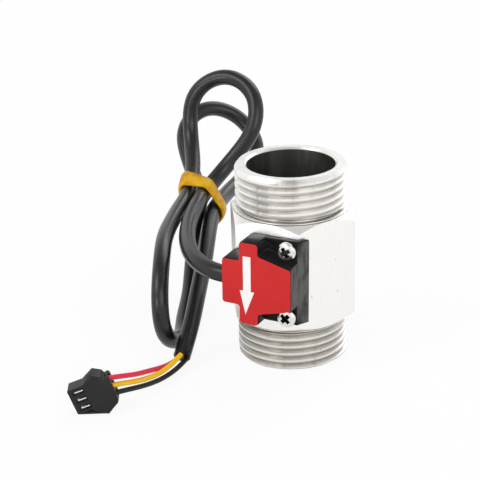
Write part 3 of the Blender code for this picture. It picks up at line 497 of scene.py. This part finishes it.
cable = {
    "diameter": 5.2, "length": 0.516,  # mm, and metres
    "steps": 300,  # points on the finished curve
    "points": [
        (-9, -21.65, 30.9), (-14.5, -20.95, 30.9), (-22.5, -17, 31), (-30, -9, 31),
        (-37, 3, 31), (-41, 13, 31.5), (-43.5, 22.5, 32.5), (-46.5, 39.5, 34), (-42, 48.5, 41.5),
        (-37.5, 53, 50.5), (-40.5, 58.5, 60), (-52, 60.5, 64), (-61.5, 57.5, 57.5),
        (-62.5, 55, 46.5), (-57, 45.5, 37), (-51.5, 30, 31.5), (-49, 20, 31), (-46, 9.5, 31),
        (-41, -4.5, 31), (-35.5, -17, 28), (-32, -25, 19.5), (-31.5, -22.5, 7.5), (-32, -14, 3),
        (-36, -3.5, 3.7), (-40, 8, 7), (-44.5, 19.5, 13.5), (-48, 30, 21.5), (-52, 40, 27),
        (-58, 48.5, 31), (-65, 56, 37), (-69, 64, 43.5), (-65.5, 73.5, 47.5), (-56, 80, 43),
        (-48, 76.5, 35), (-46, 63, 29), (-45.5, 47.5, 27.5), (-44.5, 41.5, 27.5),
        (-41, 28.5, 28), (-37, 17, 25.5), (-33, 6, 21), (-29.5, -5.5, 15.5),
        (-26.5, -16.5, 9.5), (-24.5, -26.5, 4),
    ],
}


def smoothRoute(points, count):
    # a natural cubic through the points, read off at equal steps of length
    knots = np.array(points, float)
    chord = np.linalg.norm(np.diff(knots, axis=0), axis=1)
    at = np.concatenate([[0], np.cumsum(chord)])
    last = len(knots) - 1
    system, pull = np.eye(last + 1), np.zeros((last + 1, 3))
    for i in range(1, last):
        system[i, i - 1:i + 2] = chord[i - 1], 2 * (chord[i - 1] + chord[i]), chord[i]
        pull[i] = 6 * ((knots[i + 1] - knots[i]) / chord[i] - (knots[i] - knots[i - 1]) / chord[i - 1])
    bend = np.linalg.solve(system, pull)

    def place(distance):
        i = int(np.clip(np.searchsorted(at, distance, side="right") - 1, 0, last - 1))
        span = chord[i]
        a, b = (at[i + 1] - distance) / span, (distance - at[i]) / span
        return (a * knots[i] + b * knots[i + 1]
                + ((a ** 3 - a) * bend[i] + (b ** 3 - b) * bend[i + 1]) * span ** 2 / 6)

    fineSteps = 3000
    line = spacedAlong(np.array([place(d) for d in np.linspace(0, at[-1], fineSteps)]), count)
    return line * mm + np.array(boreAxis)


def spacedAlong(line, count, endpoint=True):
    # points at equal steps along a line of many short pieces
    run = np.concatenate([[0], np.cumsum(np.linalg.norm(np.diff(line, axis=0), axis=1))])
    marks = np.linspace(0, run[-1], count, endpoint=endpoint)
    return np.stack([np.interp(marks, run, line[:, k]) for k in range(3)], -1)


def makeCord(name, line, diameter, look, node):
    curve = bpy.data.curves.new(name, "CURVE")
    curve.dimensions = "3D"
    curve.bevel_depth = diameter / 2 * mm
    curve.bevel_resolution = 7
    curve.use_fill_caps = True
    spline = curve.splines.new("POLY")
    spline.points.add(len(line) - 1)
    for point, place in zip(spline.points, line):
        point.co = (*place, 1)
    spline.use_smooth = True
    return finishPiece(addObject(name, curve), name, "body", look, [node])


jacket = makeCord("cableJacket", smoothRoute(cable["points"], cable["steps"]), cable["diameter"],
                  looks["jacket"], "cable_jacket")


# Three cores from the jacket's end into the plug

plug = {
    "length": 12.5, "width": 8.0, "thickness": 5.5, "wingAt": 8.2, "wingDown": 3.0,
    "pitch": 2.55, "holeDepth": 1.6, "heading": 27.4, "nose": (-41.8, -59.7),
}

cores = {
    "red": {"way": 1, "turn": 210, "slot": "core_red",
            "middles": [(-26.7, -32, 2.7), (-27.1, -38.5, 4.9), (-27.8, -46, 6.8), (-28.8, -52.6, 9)]},
    "yellow": {"way": 0, "turn": 90, "slot": "core_yellow",
               "middles": [(-24.6, -31, 4.1), (-25.5, -37.5, 3.4), (-26.8, -44.5, 4.6), (-28.1, -51, 6.2)]},
    "black": {"way": -1, "turn": 330, "slot": "cable_black",
              "middles": [(-23.3, -30.5, 2.4), (-24.8, -37, 1.7), (-26.1, -44.5, 2.9), (-27.4, -51.2, 4.5)]},
}
coreSize = {
    "diameter": 1.5, "spread": 1.45, "gap": 0.3, "steps": 60,
    "easing": 60,  # how many times small waves are evened out, as a wire springs back from them
}


def plugPose():
    # the plug is made flat and stands on its narrow side; places are about the bore axis
    tilt = math.atan2(plug["wingDown"], plug["wingAt"])
    place = Matrix.Translation((*plug["nose"], plug["width"] / 2 * math.cos(tilt)))
    heading = Matrix.Rotation(math.radians(plug["heading"]), 4, "Z")
    return place @ heading @ Matrix.Rotation(math.radians(90), 4, "X") @ Matrix.Rotation(tilt, 4, "Z")


def coreLine(core):
    end, before = (Vector(cable["points"][i]) for i in (-1, -2))
    heading = (end - before).normalized()
    side = Vector((0, 0, 1)).cross(heading).normalized()
    over = heading.cross(side)
    turn, spread, gap = math.radians(core["turn"]), coreSize["spread"], coreSize["gap"]
    start = end + heading * gap + (side * math.cos(turn) + over * math.sin(turn)) * spread
    pose, across, half = plugPose(), core["way"] * plug["pitch"], plug["thickness"] / 2
    behind = pose @ Vector((plug["length"] + coreSize["diameter"] / 2, across, half))
    inside = pose @ Vector((plug["length"] - plug["holeDepth"] + gap, across, half))
    points = [start, start + heading, *core["middles"], behind, inside]
    line = smoothRoute([tuple(p) for p in points], coreSize["steps"])
    for again in range(coreSize["easing"]):
        line[1:-1] = (line[:-2] + line[2:]) / 2
    return line


coreCords = [makeCord("core" + colour.title(), coreLine(core), coreSize["diameter"],
                      looks[colour], "core_" + colour)
             for colour, core in cores.items()]
print("cords made")


# Rubber band: a flat strap round the four strands

band = {
    "middle": (-48, 33.4, 29.5), "facing": (0.22, 1, -0.05), "reach": 22, "gap": 0.12,
    "routeSteps": 1000, "rays": 720, "sides": 120,
    # across the strap and out from the strands
    "section": [(-3.0, 0.5), (-2.75, 0.9), (-1.8, 1.15), (0, 1.25), (1.8, 1.15), (2.75, 0.9), (3.0, 0.5),
                (2.7, 0.05), (0, 0), (-2.7, 0.05)],
}


def hullRing(line, middle, facing, offset, lift):
    # the outline of the strands where a plane cuts them, drawn tight
    side = facing.cross(Vector((0, 0, 1))).normalized()
    over = side.cross(facing)
    cuts = []
    for a, b in zip(line, line[1:]):
        low, high = ((p - middle).dot(facing) - offset for p in (a, b))
        if low * high <= 0 and (a - middle).length < band["reach"] * mm:
            cuts.append((a.lerp(b, low / (low - high)), (b - a).normalized()))
    ring = []
    for ray in range(band["rays"]):
        turn = math.tau * ray / band["rays"]
        way = side * math.cos(turn) + over * math.sin(turn)
        ring.append(max((ovalEdge(place, run, facing, way, lift) for place, run in cuts), key=way.dot))
    return spacedAlong(np.array([tuple(p) for p in ring + ring[:1]]), band["sides"], endpoint=False)


def ovalEdge(place, run, facing, way, radius):
    # the point of a strand's oval section that lies furthest that way
    long = (run - facing * run.dot(facing)).normalized()
    wide = facing.cross(long)
    a, b = radius / abs(run.dot(facing)), radius
    u, v = a * way.dot(long), b * way.dot(wide)
    return place + (long * a * u + wide * b * v) / math.hypot(u, v)


def makeBand():
    line = [Vector(p) for p in smoothRoute(cable["points"], band["routeSteps"])]
    middle = Vector(band["middle"]) * mm + Vector(boreAxis)
    facing = Vector(band["facing"]).normalized()
    inner = cable["diameter"] / 2 + band["gap"]
    rings = [hullRing(line, middle, facing, across * mm, (inner + out) * mm)
             for across, out in band["section"]]
    places = [tuple(p) for ring in rings for p in ring]
    count, around = len(rings), band["sides"]
    faces = []
    for i in range(count):
        for j in range(around):
            k, following = (j + 1) % around, (i + 1) % count
            faces.append((i * around + j, i * around + k, following * around + k, following * around + j))
    thing = addMesh("rubberBand", places, faces)
    tidyMesh(thing, angle=60)
    return finishPiece(thing, "rubberBand", "body", looks["band"], ["cable_band"])


rubberBand = makeBand()
print("band made")


# Steel body: turned blank and chamfered hexagon, with wound grooves cut for the threads

steelBody = {
    "height": 60, "sides": 96, "thread": 16.625, "endFace": 15.8, "endChamfer": 1.0,
    "hexFlats": 35, "hexLow": 13, "hexHigh": 47, "hexEdge": 0.16, "chamferSlope": 36,
    # a collar at each end of the hexagon, with a fine groove where the chamfer begins
    "collar": 17.3, "collarHigh": 0.3, "collarTaper": 0.02,
    "grooveDepth": 0.18, "grooveBelow": 0.08, "grooveAbove": 0.06,
    "relief": 1.1, "reliefSlope": 0.3, "neck": 14.95,
    # the thread's groove in section: radius and half width
    "pitch": 2.309, "section": [(15.3, 0.22), (16.42, 0.74), (16.56, 0.79), (16.64, 0.86), (16.9, 0.86)],
    # each groove: where it starts and how far round, its turns, and where it fades out
    "grooves": [
        {"start": -2.08, "at": 0, "turns": 6.05, "fade": None},
        {"start": 47.87, "at": 214, "turns": 4.85, "fade": 57.9},
    ],
    "bore": 13.1, "outlet": 11.0, "shoulder": 11.0, "boreChamfer": 0.6,
    "ringLow": 48.3, "ringWidth": 1.8, "ringOut": 14.0,
}


def threadCutter(groove):
    # the groove's section, wound up round the bore
    b = steelBody
    (inner, innerHalf), (outer, outerHalf) = b["section"][:2]
    start, depth = groove["start"] * mm, outer - inner
    middle, centre = (inner + depth / 2) * mm, (0, boreY, start)
    deselect()
    bpy.ops.mesh.primitive_plane_add(size=2, location=boreAxis, rotation=(math.radians(90), 0, 0))
    thing = bpy.context.object
    bpy.ops.object.transform_apply(location=False, rotation=True, scale=False)
    startEdit(thing)
    resizeBy((depth / 2 * mm, 1, innerHalf * mm), boreAxis)
    bpy.ops.transform.translate(value=(middle, 0, start))
    pick("EDGE", lambda edge: all(point.co.x > middle for point in edge.verts))
    resizeBy((1, 1, outerHalf / innerHalf), centre)
    half = outerHalf
    for radius, wider in b["section"][2:]:
        here = max(point.co.x for point in bmesh.from_edit_mesh(thing.data).verts)
        extrudeBy(radius * mm - here, 0, 0)
        resizeBy((1, 1, wider / half), centre)
        half = wider
    bpy.ops.mesh.select_all(action="SELECT")
    bpy.ops.mesh.remove_doubles(threshold=1e-7)
    bpy.ops.mesh.dissolve_faces()
    bpy.ops.mesh.delete(type="ONLY_FACE")
    endEdit()
    steps = round(b["sides"] * groove["turns"])
    applyStep(thing, "SCREW", axis="Z", angle=math.tau * groove["turns"], steps=steps, render_steps=steps,
              iterations=1, screw_offset=b["pitch"] * groove["turns"] * mm,
              use_merge_vertices=False, use_smooth_shade=False)
    if groove["fade"]:
        for point in thing.data.vertices:
            x, y, z = point.co
            out = max(0, z / mm - groove["fade"]) * mm
            grown = 1 + out / math.hypot(x, y - boreY)
            point.co = (x * grown, boreY + (y - boreY) * grown, z)
    startEdit(thing)
    bpy.ops.mesh.select_mode(type="EDGE")
    bpy.ops.mesh.select_all(action="DESELECT")
    bpy.ops.mesh.select_non_manifold()
    bpy.ops.mesh.fill()
    bpy.ops.mesh.select_all(action="SELECT")
    bpy.ops.mesh.normals_make_consistent(inside=False)
    endEdit()
    return turnBy(applyPlace(thing), groove["at"])


def makeHexagon():
    # a six-sided bar, turned down at its ends by what it shares with a barrel
    b = steelBody
    low, high, collar, step = b["hexLow"], b["hexHigh"], b["collar"], b["collarHigh"]
    corner = b["hexFlats"] / math.sqrt(3)
    deselect()
    bpy.ops.mesh.primitive_cylinder_add(
        vertices=6, radius=corner * mm, depth=(high - low) * mm,
        location=(0, boreY, (high + low) / 2 * mm), rotation=(0, 0, math.radians(30)))
    hexagon = applyPlace(bpy.context.object)
    wide = corner + 2  # clear of the corners
    drop = step + (wide - collar) * math.tan(math.radians(b["chamferSlope"]))
    shoulder = [(collar, 0), (collar - b["collarTaper"], step - b["grooveBelow"]),
                (collar - b["grooveDepth"], step), (collar, step + b["grooveAbove"]), (wide, drop)]
    barrel = turnedSolid([(radius, low + up) for radius, up in shoulder]
                         + [(radius, high - up) for radius, up in reversed(shoulder)], b["sides"])
    carve(hexagon, turnBy(barrel, 180 / b["sides"]), "INTERSECT")
    return roundEdges(hexagon, b["hexEdge"], 25)


def makeSteelBody():
    b = steelBody
    height, thread, neck, slope = b["height"], b["thread"], b["neck"], b["reliefSlope"]
    lowNeck, highNeck = b["hexLow"] - b["relief"], b["hexHigh"] + b["relief"]
    blank = turnedSolid([
        (b["endFace"], 0), (thread, b["endChamfer"]), (thread, lowNeck),
        (neck, lowNeck + slope), (neck, highNeck - slope), (thread, highNeck),
        (thread, height - b["endChamfer"]), (b["endFace"], height)], b["sides"])
    carve(blank, makeHexagon(), "UNION")
    for groove in b["grooves"]:
        carve(blank, threadCutter(groove))
    bore, outlet, chamfer = b["bore"], b["outlet"], b["boreChamfer"]
    ringLow, ringHigh = b["ringLow"], b["ringLow"] + b["ringWidth"]
    over = 1  # how far the cutter runs past each end
    cutter = turnedSolid([
        (outlet + chamfer + over, -over), (outlet, chamfer), (outlet, b["shoulder"]),
        (bore, b["shoulder"]), (bore, ringLow), (b["ringOut"], ringLow),
        (b["ringOut"], ringHigh), (bore, ringHigh), (bore, height - chamfer),
        (bore + chamfer + over, height + over)], b["sides"])
    carve(blank, turnBy(cutter, 180 / b["sides"]))
    tidyMesh(blank, 0.01, 28)
    return finishPiece(blank, "steelBody", "body", looks["steel"], ["flow_body"])


makeSteelBody()
print("steel body made")


# CAD nodes whose shape is right: a merged copy with softer edges

def smoothCopy(node, name, look, body="body", edge=0.0, angle=32):
    thing = addObject(name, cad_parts[node].data.copy())
    startEdit(thing)
    bpy.ops.mesh.remove_doubles(threshold=0.003 * mm)
    bpy.ops.mesh.dissolve_limited(angle_limit=math.radians(1))
    endEdit()
    if edge:
        roundEdges(thing, edge, 35)
    tidyMesh(thing, 0.002, angle)
    return finishPiece(thing, name, body, look, [node])


smoothCopy("sensor_housing", "sensorHousing", looks["housing"], angle=40)
smoothCopy("label", "labelFilm", looks["label"], edge=0.07)
smoothCopy("swirl_guide", "swirlGuide", looks["support"], edge=0.12)
smoothCopy("outlet_spider", "outletSpider", looks["support"], edge=0.12)
smoothCopy("retaining_ring", "retainingRing", looks["spring"], edge=0.1)
smoothCopy("rotor", "paddleRotor", looks["rotor"], "rotor", 0.12)
smoothCopy("magnet_ring", "magnetRing", looks["magnet"], "rotor", 0.15)
smoothCopy("rotor_shaft", "rotorShaft", looks["shaft"])
plugPiece = smoothCopy("plug_housing", "plugHousing", looks["plug"], edge=0.07, angle=40)
print("copies made")


# The plug's arm, which bridges the gap from its open end to the tip of its lower wing

plugArm = {
    "low": 0.6, "high": 4.9,
    "outline": [(0.15, -4.06), (8.05, -6.95), (7.7, -6.35), (4.3, -4.75), (0.9, -3.9), (0.15, -3.9)],
}


def plugPlace():
    # from the plug's own millimetres to its place in the scene
    return Matrix.Translation(Vector(boreAxis)) @ Matrix.Scale(mm, 4) @ plugPose()


def addArm():
    outline = plugArm["outline"]
    count = len(outline)
    places = [(x, y, z) for z in (plugArm["low"], plugArm["high"]) for x, y in outline]
    faces = [tuple(reversed(range(count))), tuple(range(count, 2 * count))]
    for i in range(count):
        j = (i + 1) % count
        faces.append((i, j, count + j, count + i))
    thing = addMesh("plugArm", places, faces)
    thing.data.transform(plugPlace())
    thing.data.materials.append(looks["plug"])
    carve(plugPiece, thing, "UNION")
    tidyMesh(plugPiece, 0.002, 40)


addArm()


# Contacts: a narrow blade that shows in each window of the plug, on a wider foot

contact = {
    "from": 1.7, "to": 4.5, "high": 4.85, "low": 3.5, "wide": 0.46, "topShare": (0.9, 0.75),
    "footFrom": 0.6, "footTo": 5.3, "footLow": 3.0, "footWide": 0.86, "ledge": 0.15, "edge": 0.06,
}


def makeContact(number):
    c = contact
    footLong, bladeLong = c["footTo"] - c["footFrom"], c["to"] - c["from"]
    bladeMiddle = ((c["from"] + c["to"]) / 2, 0, c["low"])
    ledges = 2 * c["ledge"]
    deselect()
    bpy.ops.mesh.primitive_cube_add(size=1)
    thing = bpy.context.object
    startEdit(thing)
    resizeBy((footLong, c["footWide"], c["low"] - c["footLow"]), (0, 0, 0))
    bpy.ops.transform.translate(
        value=((c["footFrom"] + c["footTo"]) / 2, 0, (c["footLow"] + c["low"]) / 2))
    pick("FACE", facesUp)
    bpy.ops.mesh.inset(thickness=c["ledge"])
    resizeBy((bladeLong / (footLong - ledges), c["wide"] / (c["footWide"] - ledges), 1), bladeMiddle)
    extrudeBy(0, 0, c["high"] - c["low"])
    resizeBy((*c["topShare"], 1), bladeMiddle)
    endEdit()
    applyStep(thing, "BEVEL", width=c["edge"], segments=2, limit_method="ANGLE",
              angle_limit=math.radians(40))
    thing.data.transform(plugPlace() @ Matrix.Translation((0, (number - 2) * plug["pitch"], 0)))
    tidyMesh(thing, 0.002, 35)
    return finishPiece(thing, "plugContact%d" % number, "body", looks["contact"],
                       ["plug_contact_%d" % number])


contacts = [makeContact(number) for number in (1, 2, 3)]
print("plug made")


# CAD nodes that stay, each with a look of its own

keptNodes = {
    "rotor_bush_lower": "bush", "rotor_bush_upper": "bush", "sensor_seal": "seal",
    "circuit_board": "board", "hall_element": "chip",
    "lead_red": "red", "lead_yellow": "yellow", "lead_black": "black",
}
for node, look in keptNodes.items():
    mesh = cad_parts[node].data
    mesh.materials.clear()
    mesh.materials.append(looks[look])


# Flow arrow on the label

arrow = {
    "shaft": (-3.8, -1.4), "top": 39.45, "neck": 28.7, "head": (-4.95, -0.4), "tip": (-3.1, 21.5),
    "thick": 0.06, "front": 25.85,  # the label's face, out from the bore axis
    "step": 0.01, "blunt": 0.02,  # depth of the head's shoulders, and what is left of its width at the tip
}


def makeArrow():
    a = arrow
    left, right = a["shaft"]
    headLeft, headRight = a["head"]
    tipX, tipZ = a["tip"]
    middle = (left + right) / 2
    y = boreY - (a["front"] + a["thick"] / 2) * mm
    deselect()
    bpy.ops.mesh.primitive_cube_add(
        size=1, location=(middle * mm, y, (a["top"] + a["neck"]) / 2 * mm),
        scale=((right - left) * mm, a["thick"] * mm, (a["top"] - a["neck"]) * mm))
    thing = applyPlace(bpy.context.object)
    startEdit(thing)
    pick("FACE", facesDown)
    extrudeBy(0, 0, -a["step"] * mm)
    resizeBy(((headRight - headLeft) / (right - left), 1, 1), (middle * mm, y, a["neck"] * mm))
    extrudeBy((tipX - middle) * mm, 0, (tipZ - a["neck"]) * mm)
    resizeBy((a["blunt"], 1, 1), (tipX * mm, y, tipZ * mm))
    endEdit()
    tidyMesh(thing, 0.001)
    return finishPiece(thing, "flowArrow", "body", looks["arrow"])


makeArrow()
print("arrow made")


# Screws: flat pan heads with a cross recess

screw = {
    "placed": [
        {"name": "screwUpper", "node": "screw_upper", "z": 40.7, "turn": 32},
        {"name": "screwLower", "node": "screw_lower", "z": 20.05, "turn": 48},
    ],
    "x": 7.45, "seat": 20.2, "headRadius": 2.85, "headHeight": 1.6, "shank": 1.5, "tip": 13.2, "sides": 64,
    # in from the head's side and up from its seat
    "crown": [(0.12, 0), (0, 0.12), (0, 0.6), (0.06, 0.85), (0.2, 1.08), (0.42, 1.26), (0.75, 1.4),
              (1.3, 1.51), (2.0, 1.57), (2.75, 1.6)],
    "recess": 2.05, "recessWidth": 1.35, "recessDepth": 1.3, "recessTaper": (0.6, 0.8), "recessOver": 1,
    "edge": 0.06,
}
headCentre = (0, 0, 0)  # a screw is made upright here, then laid over and moved


def recessCutter(turn):
    # two tapered bars, crossed
    s = screw
    middle = s["seat"] + s["headHeight"] - s["recessDepth"] / 2 + s["recessOver"] / 2
    cutter = None
    for way in (0, 90):
        deselect()
        bpy.ops.mesh.primitive_cube_add(
            size=1, location=(0, 0, middle * mm),
            scale=(s["recess"] * 2 * mm, s["recessWidth"] * mm, (s["recessDepth"] + s["recessOver"]) * mm))
        bar = applyPlace(bpy.context.object)
        startEdit(bar)
        pick("FACE", facesDown)
        resizeBy((*s["recessTaper"], 1), headCentre)
        endEdit()
        turnBy(bar, turn + way, "Z", headCentre)
        cutter = carve(cutter, bar, "UNION") if cutter else bar
    return cutter


def makeScrew(name, node, z, turn):
    s = screw
    head, seat = s["headRadius"], s["seat"]
    crown = [(head - inward, seat + up) for inward, up in s["crown"]]
    thing = turnedSolid([(s["shank"], s["tip"]), (s["shank"], seat), *crown], s["sides"], headCentre)
    cutter = recessCutter(turn)
    for look in (looks["screw"], looks["recess"]):
        thing.data.materials.append(look)
        cutter.data.materials.append(look)
    for face in cutter.data.polygons:
        face.material_index = 1
    carve(thing, cutter)
    roundEdges(thing, s["edge"], 40)
    turnBy(thing, 90, "X", headCentre)
    startEdit(thing)
    bpy.ops.transform.translate(value=(s["x"] * mm, boreY, z * mm))
    endEdit()
    tidyMesh(thing, 0.002, 35)
    return finishPiece(thing, name, "body", None, [node])


for placed in screw["placed"]:
    makeScrew(**placed)
print("screws made")


# The housing is screwed on a little out of square

housingLean = {
    "degrees": 0.9, "centre": (0, boreY, 30.65 * mm),
    "pieces": ("sensorHousing", "labelFilm", "flowArrow", "screwUpper", "screwLower"),
}
for name in housingLean["pieces"]:
    turnBy(bpy.data.objects[name], housingLean["degrees"], "Y", housingLean["centre"])
print("housing leaned")


# Floor, world and lamps

studio = {
    "floorSize": 6, "floorColour": (0.93, 0.93, 0.93), "floorRough": 0.9,
    "floorSeen": 0.9, "floorMirrored": 0.75,  # how much of plain white the camera and the gloss see
    "ceilingFrom": 0.4, "ceilingTo": 0.95, "ceiling": 0.55, "fill": 0.55,
    "aim": (0, 0, 0.03),
}
white = (1.0, 1.0, 1.0)


def makeFloor():
    deselect()
    bpy.ops.mesh.primitive_plane_add(size=studio["floorSize"], location=(0, 0, 0))
    floor = bpy.context.object
    floor.name = "floor"
    look = Look("paleFloor", Base_Color=studio["floorColour"], Roughness=studio["floorRough"])
    seen = look.node("ShaderNodeLightPath", out="Is Camera Ray")
    mirrored = look.node("ShaderNodeLightPath", out="Is Glossy Ray")
    glow = look.node("ShaderNodeEmission", {}, {"Color": white})
    shown = look.node("ShaderNodeMixShader", {}, {
        0: seen * studio["floorSeen"] + mirrored * studio["floorMirrored"],
        1: Wire(look, look.shader.outputs[0]), 2: glow})
    look.feed(look.tree.nodes["Material Output"].inputs[0], shown)
    floor.data.materials.append(look.material)


def makeWorld():
    world = Graph(bpy.data.worlds.new("studio"))
    bpy.context.scene.world = world.owner
    seen = world.node("ShaderNodeLightPath", out="Is Camera Ray")
    mirrored = world.node("ShaderNodeLightPath", out="Is Glossy Ray")
    way = world.node("ShaderNodeTexCoord", out="Generated")
    height = world.node("ShaderNodeSeparateXYZ", {}, {0: way}, "Z")
    ceiling = height.ramp(studio["ceilingFrom"], studio["ceilingTo"], 1.0, studio["ceiling"])
    back = world.tree.nodes["Background"]
    world.feed(back.inputs[0], white)
    world.feed(back.inputs[1], seen + mirrored * ceiling + (1 - seen - mirrored) * studio["fill"])


lamps = [
    {"name": "keyLamp", "place": (-0.7, -0.8, 1.1), "size": 0.8, "power": 6.5},
    {"name": "frontLamp", "place": (-0.35, -1.2, 0.27), "size": 0.3, "power": 2.2},
    {"name": "sideLamp", "place": (0.9, -0.6, 0.6), "size": 0.8, "power": 3.5},
    {"name": "backLamp", "place": (0.1, 1.0, 0.9), "size": 0.9, "power": 5},
]


def makeLamps():
    for lamp in lamps:
        bpy.ops.object.light_add(type="AREA", location=lamp["place"])
        made = bpy.context.object
        made.name = lamp["name"]
        made.data.energy, made.data.size = lamp["power"], lamp["size"]
        aim = Vector(studio["aim"]) - Vector(lamp["place"])
        made.rotation_euler = aim.to_track_quat("-Z", "Y").to_euler()


makeFloor()
makeWorld()
makeLamps()
bpy.context.scene.view_settings.view_transform = "Standard"
print("stage made")
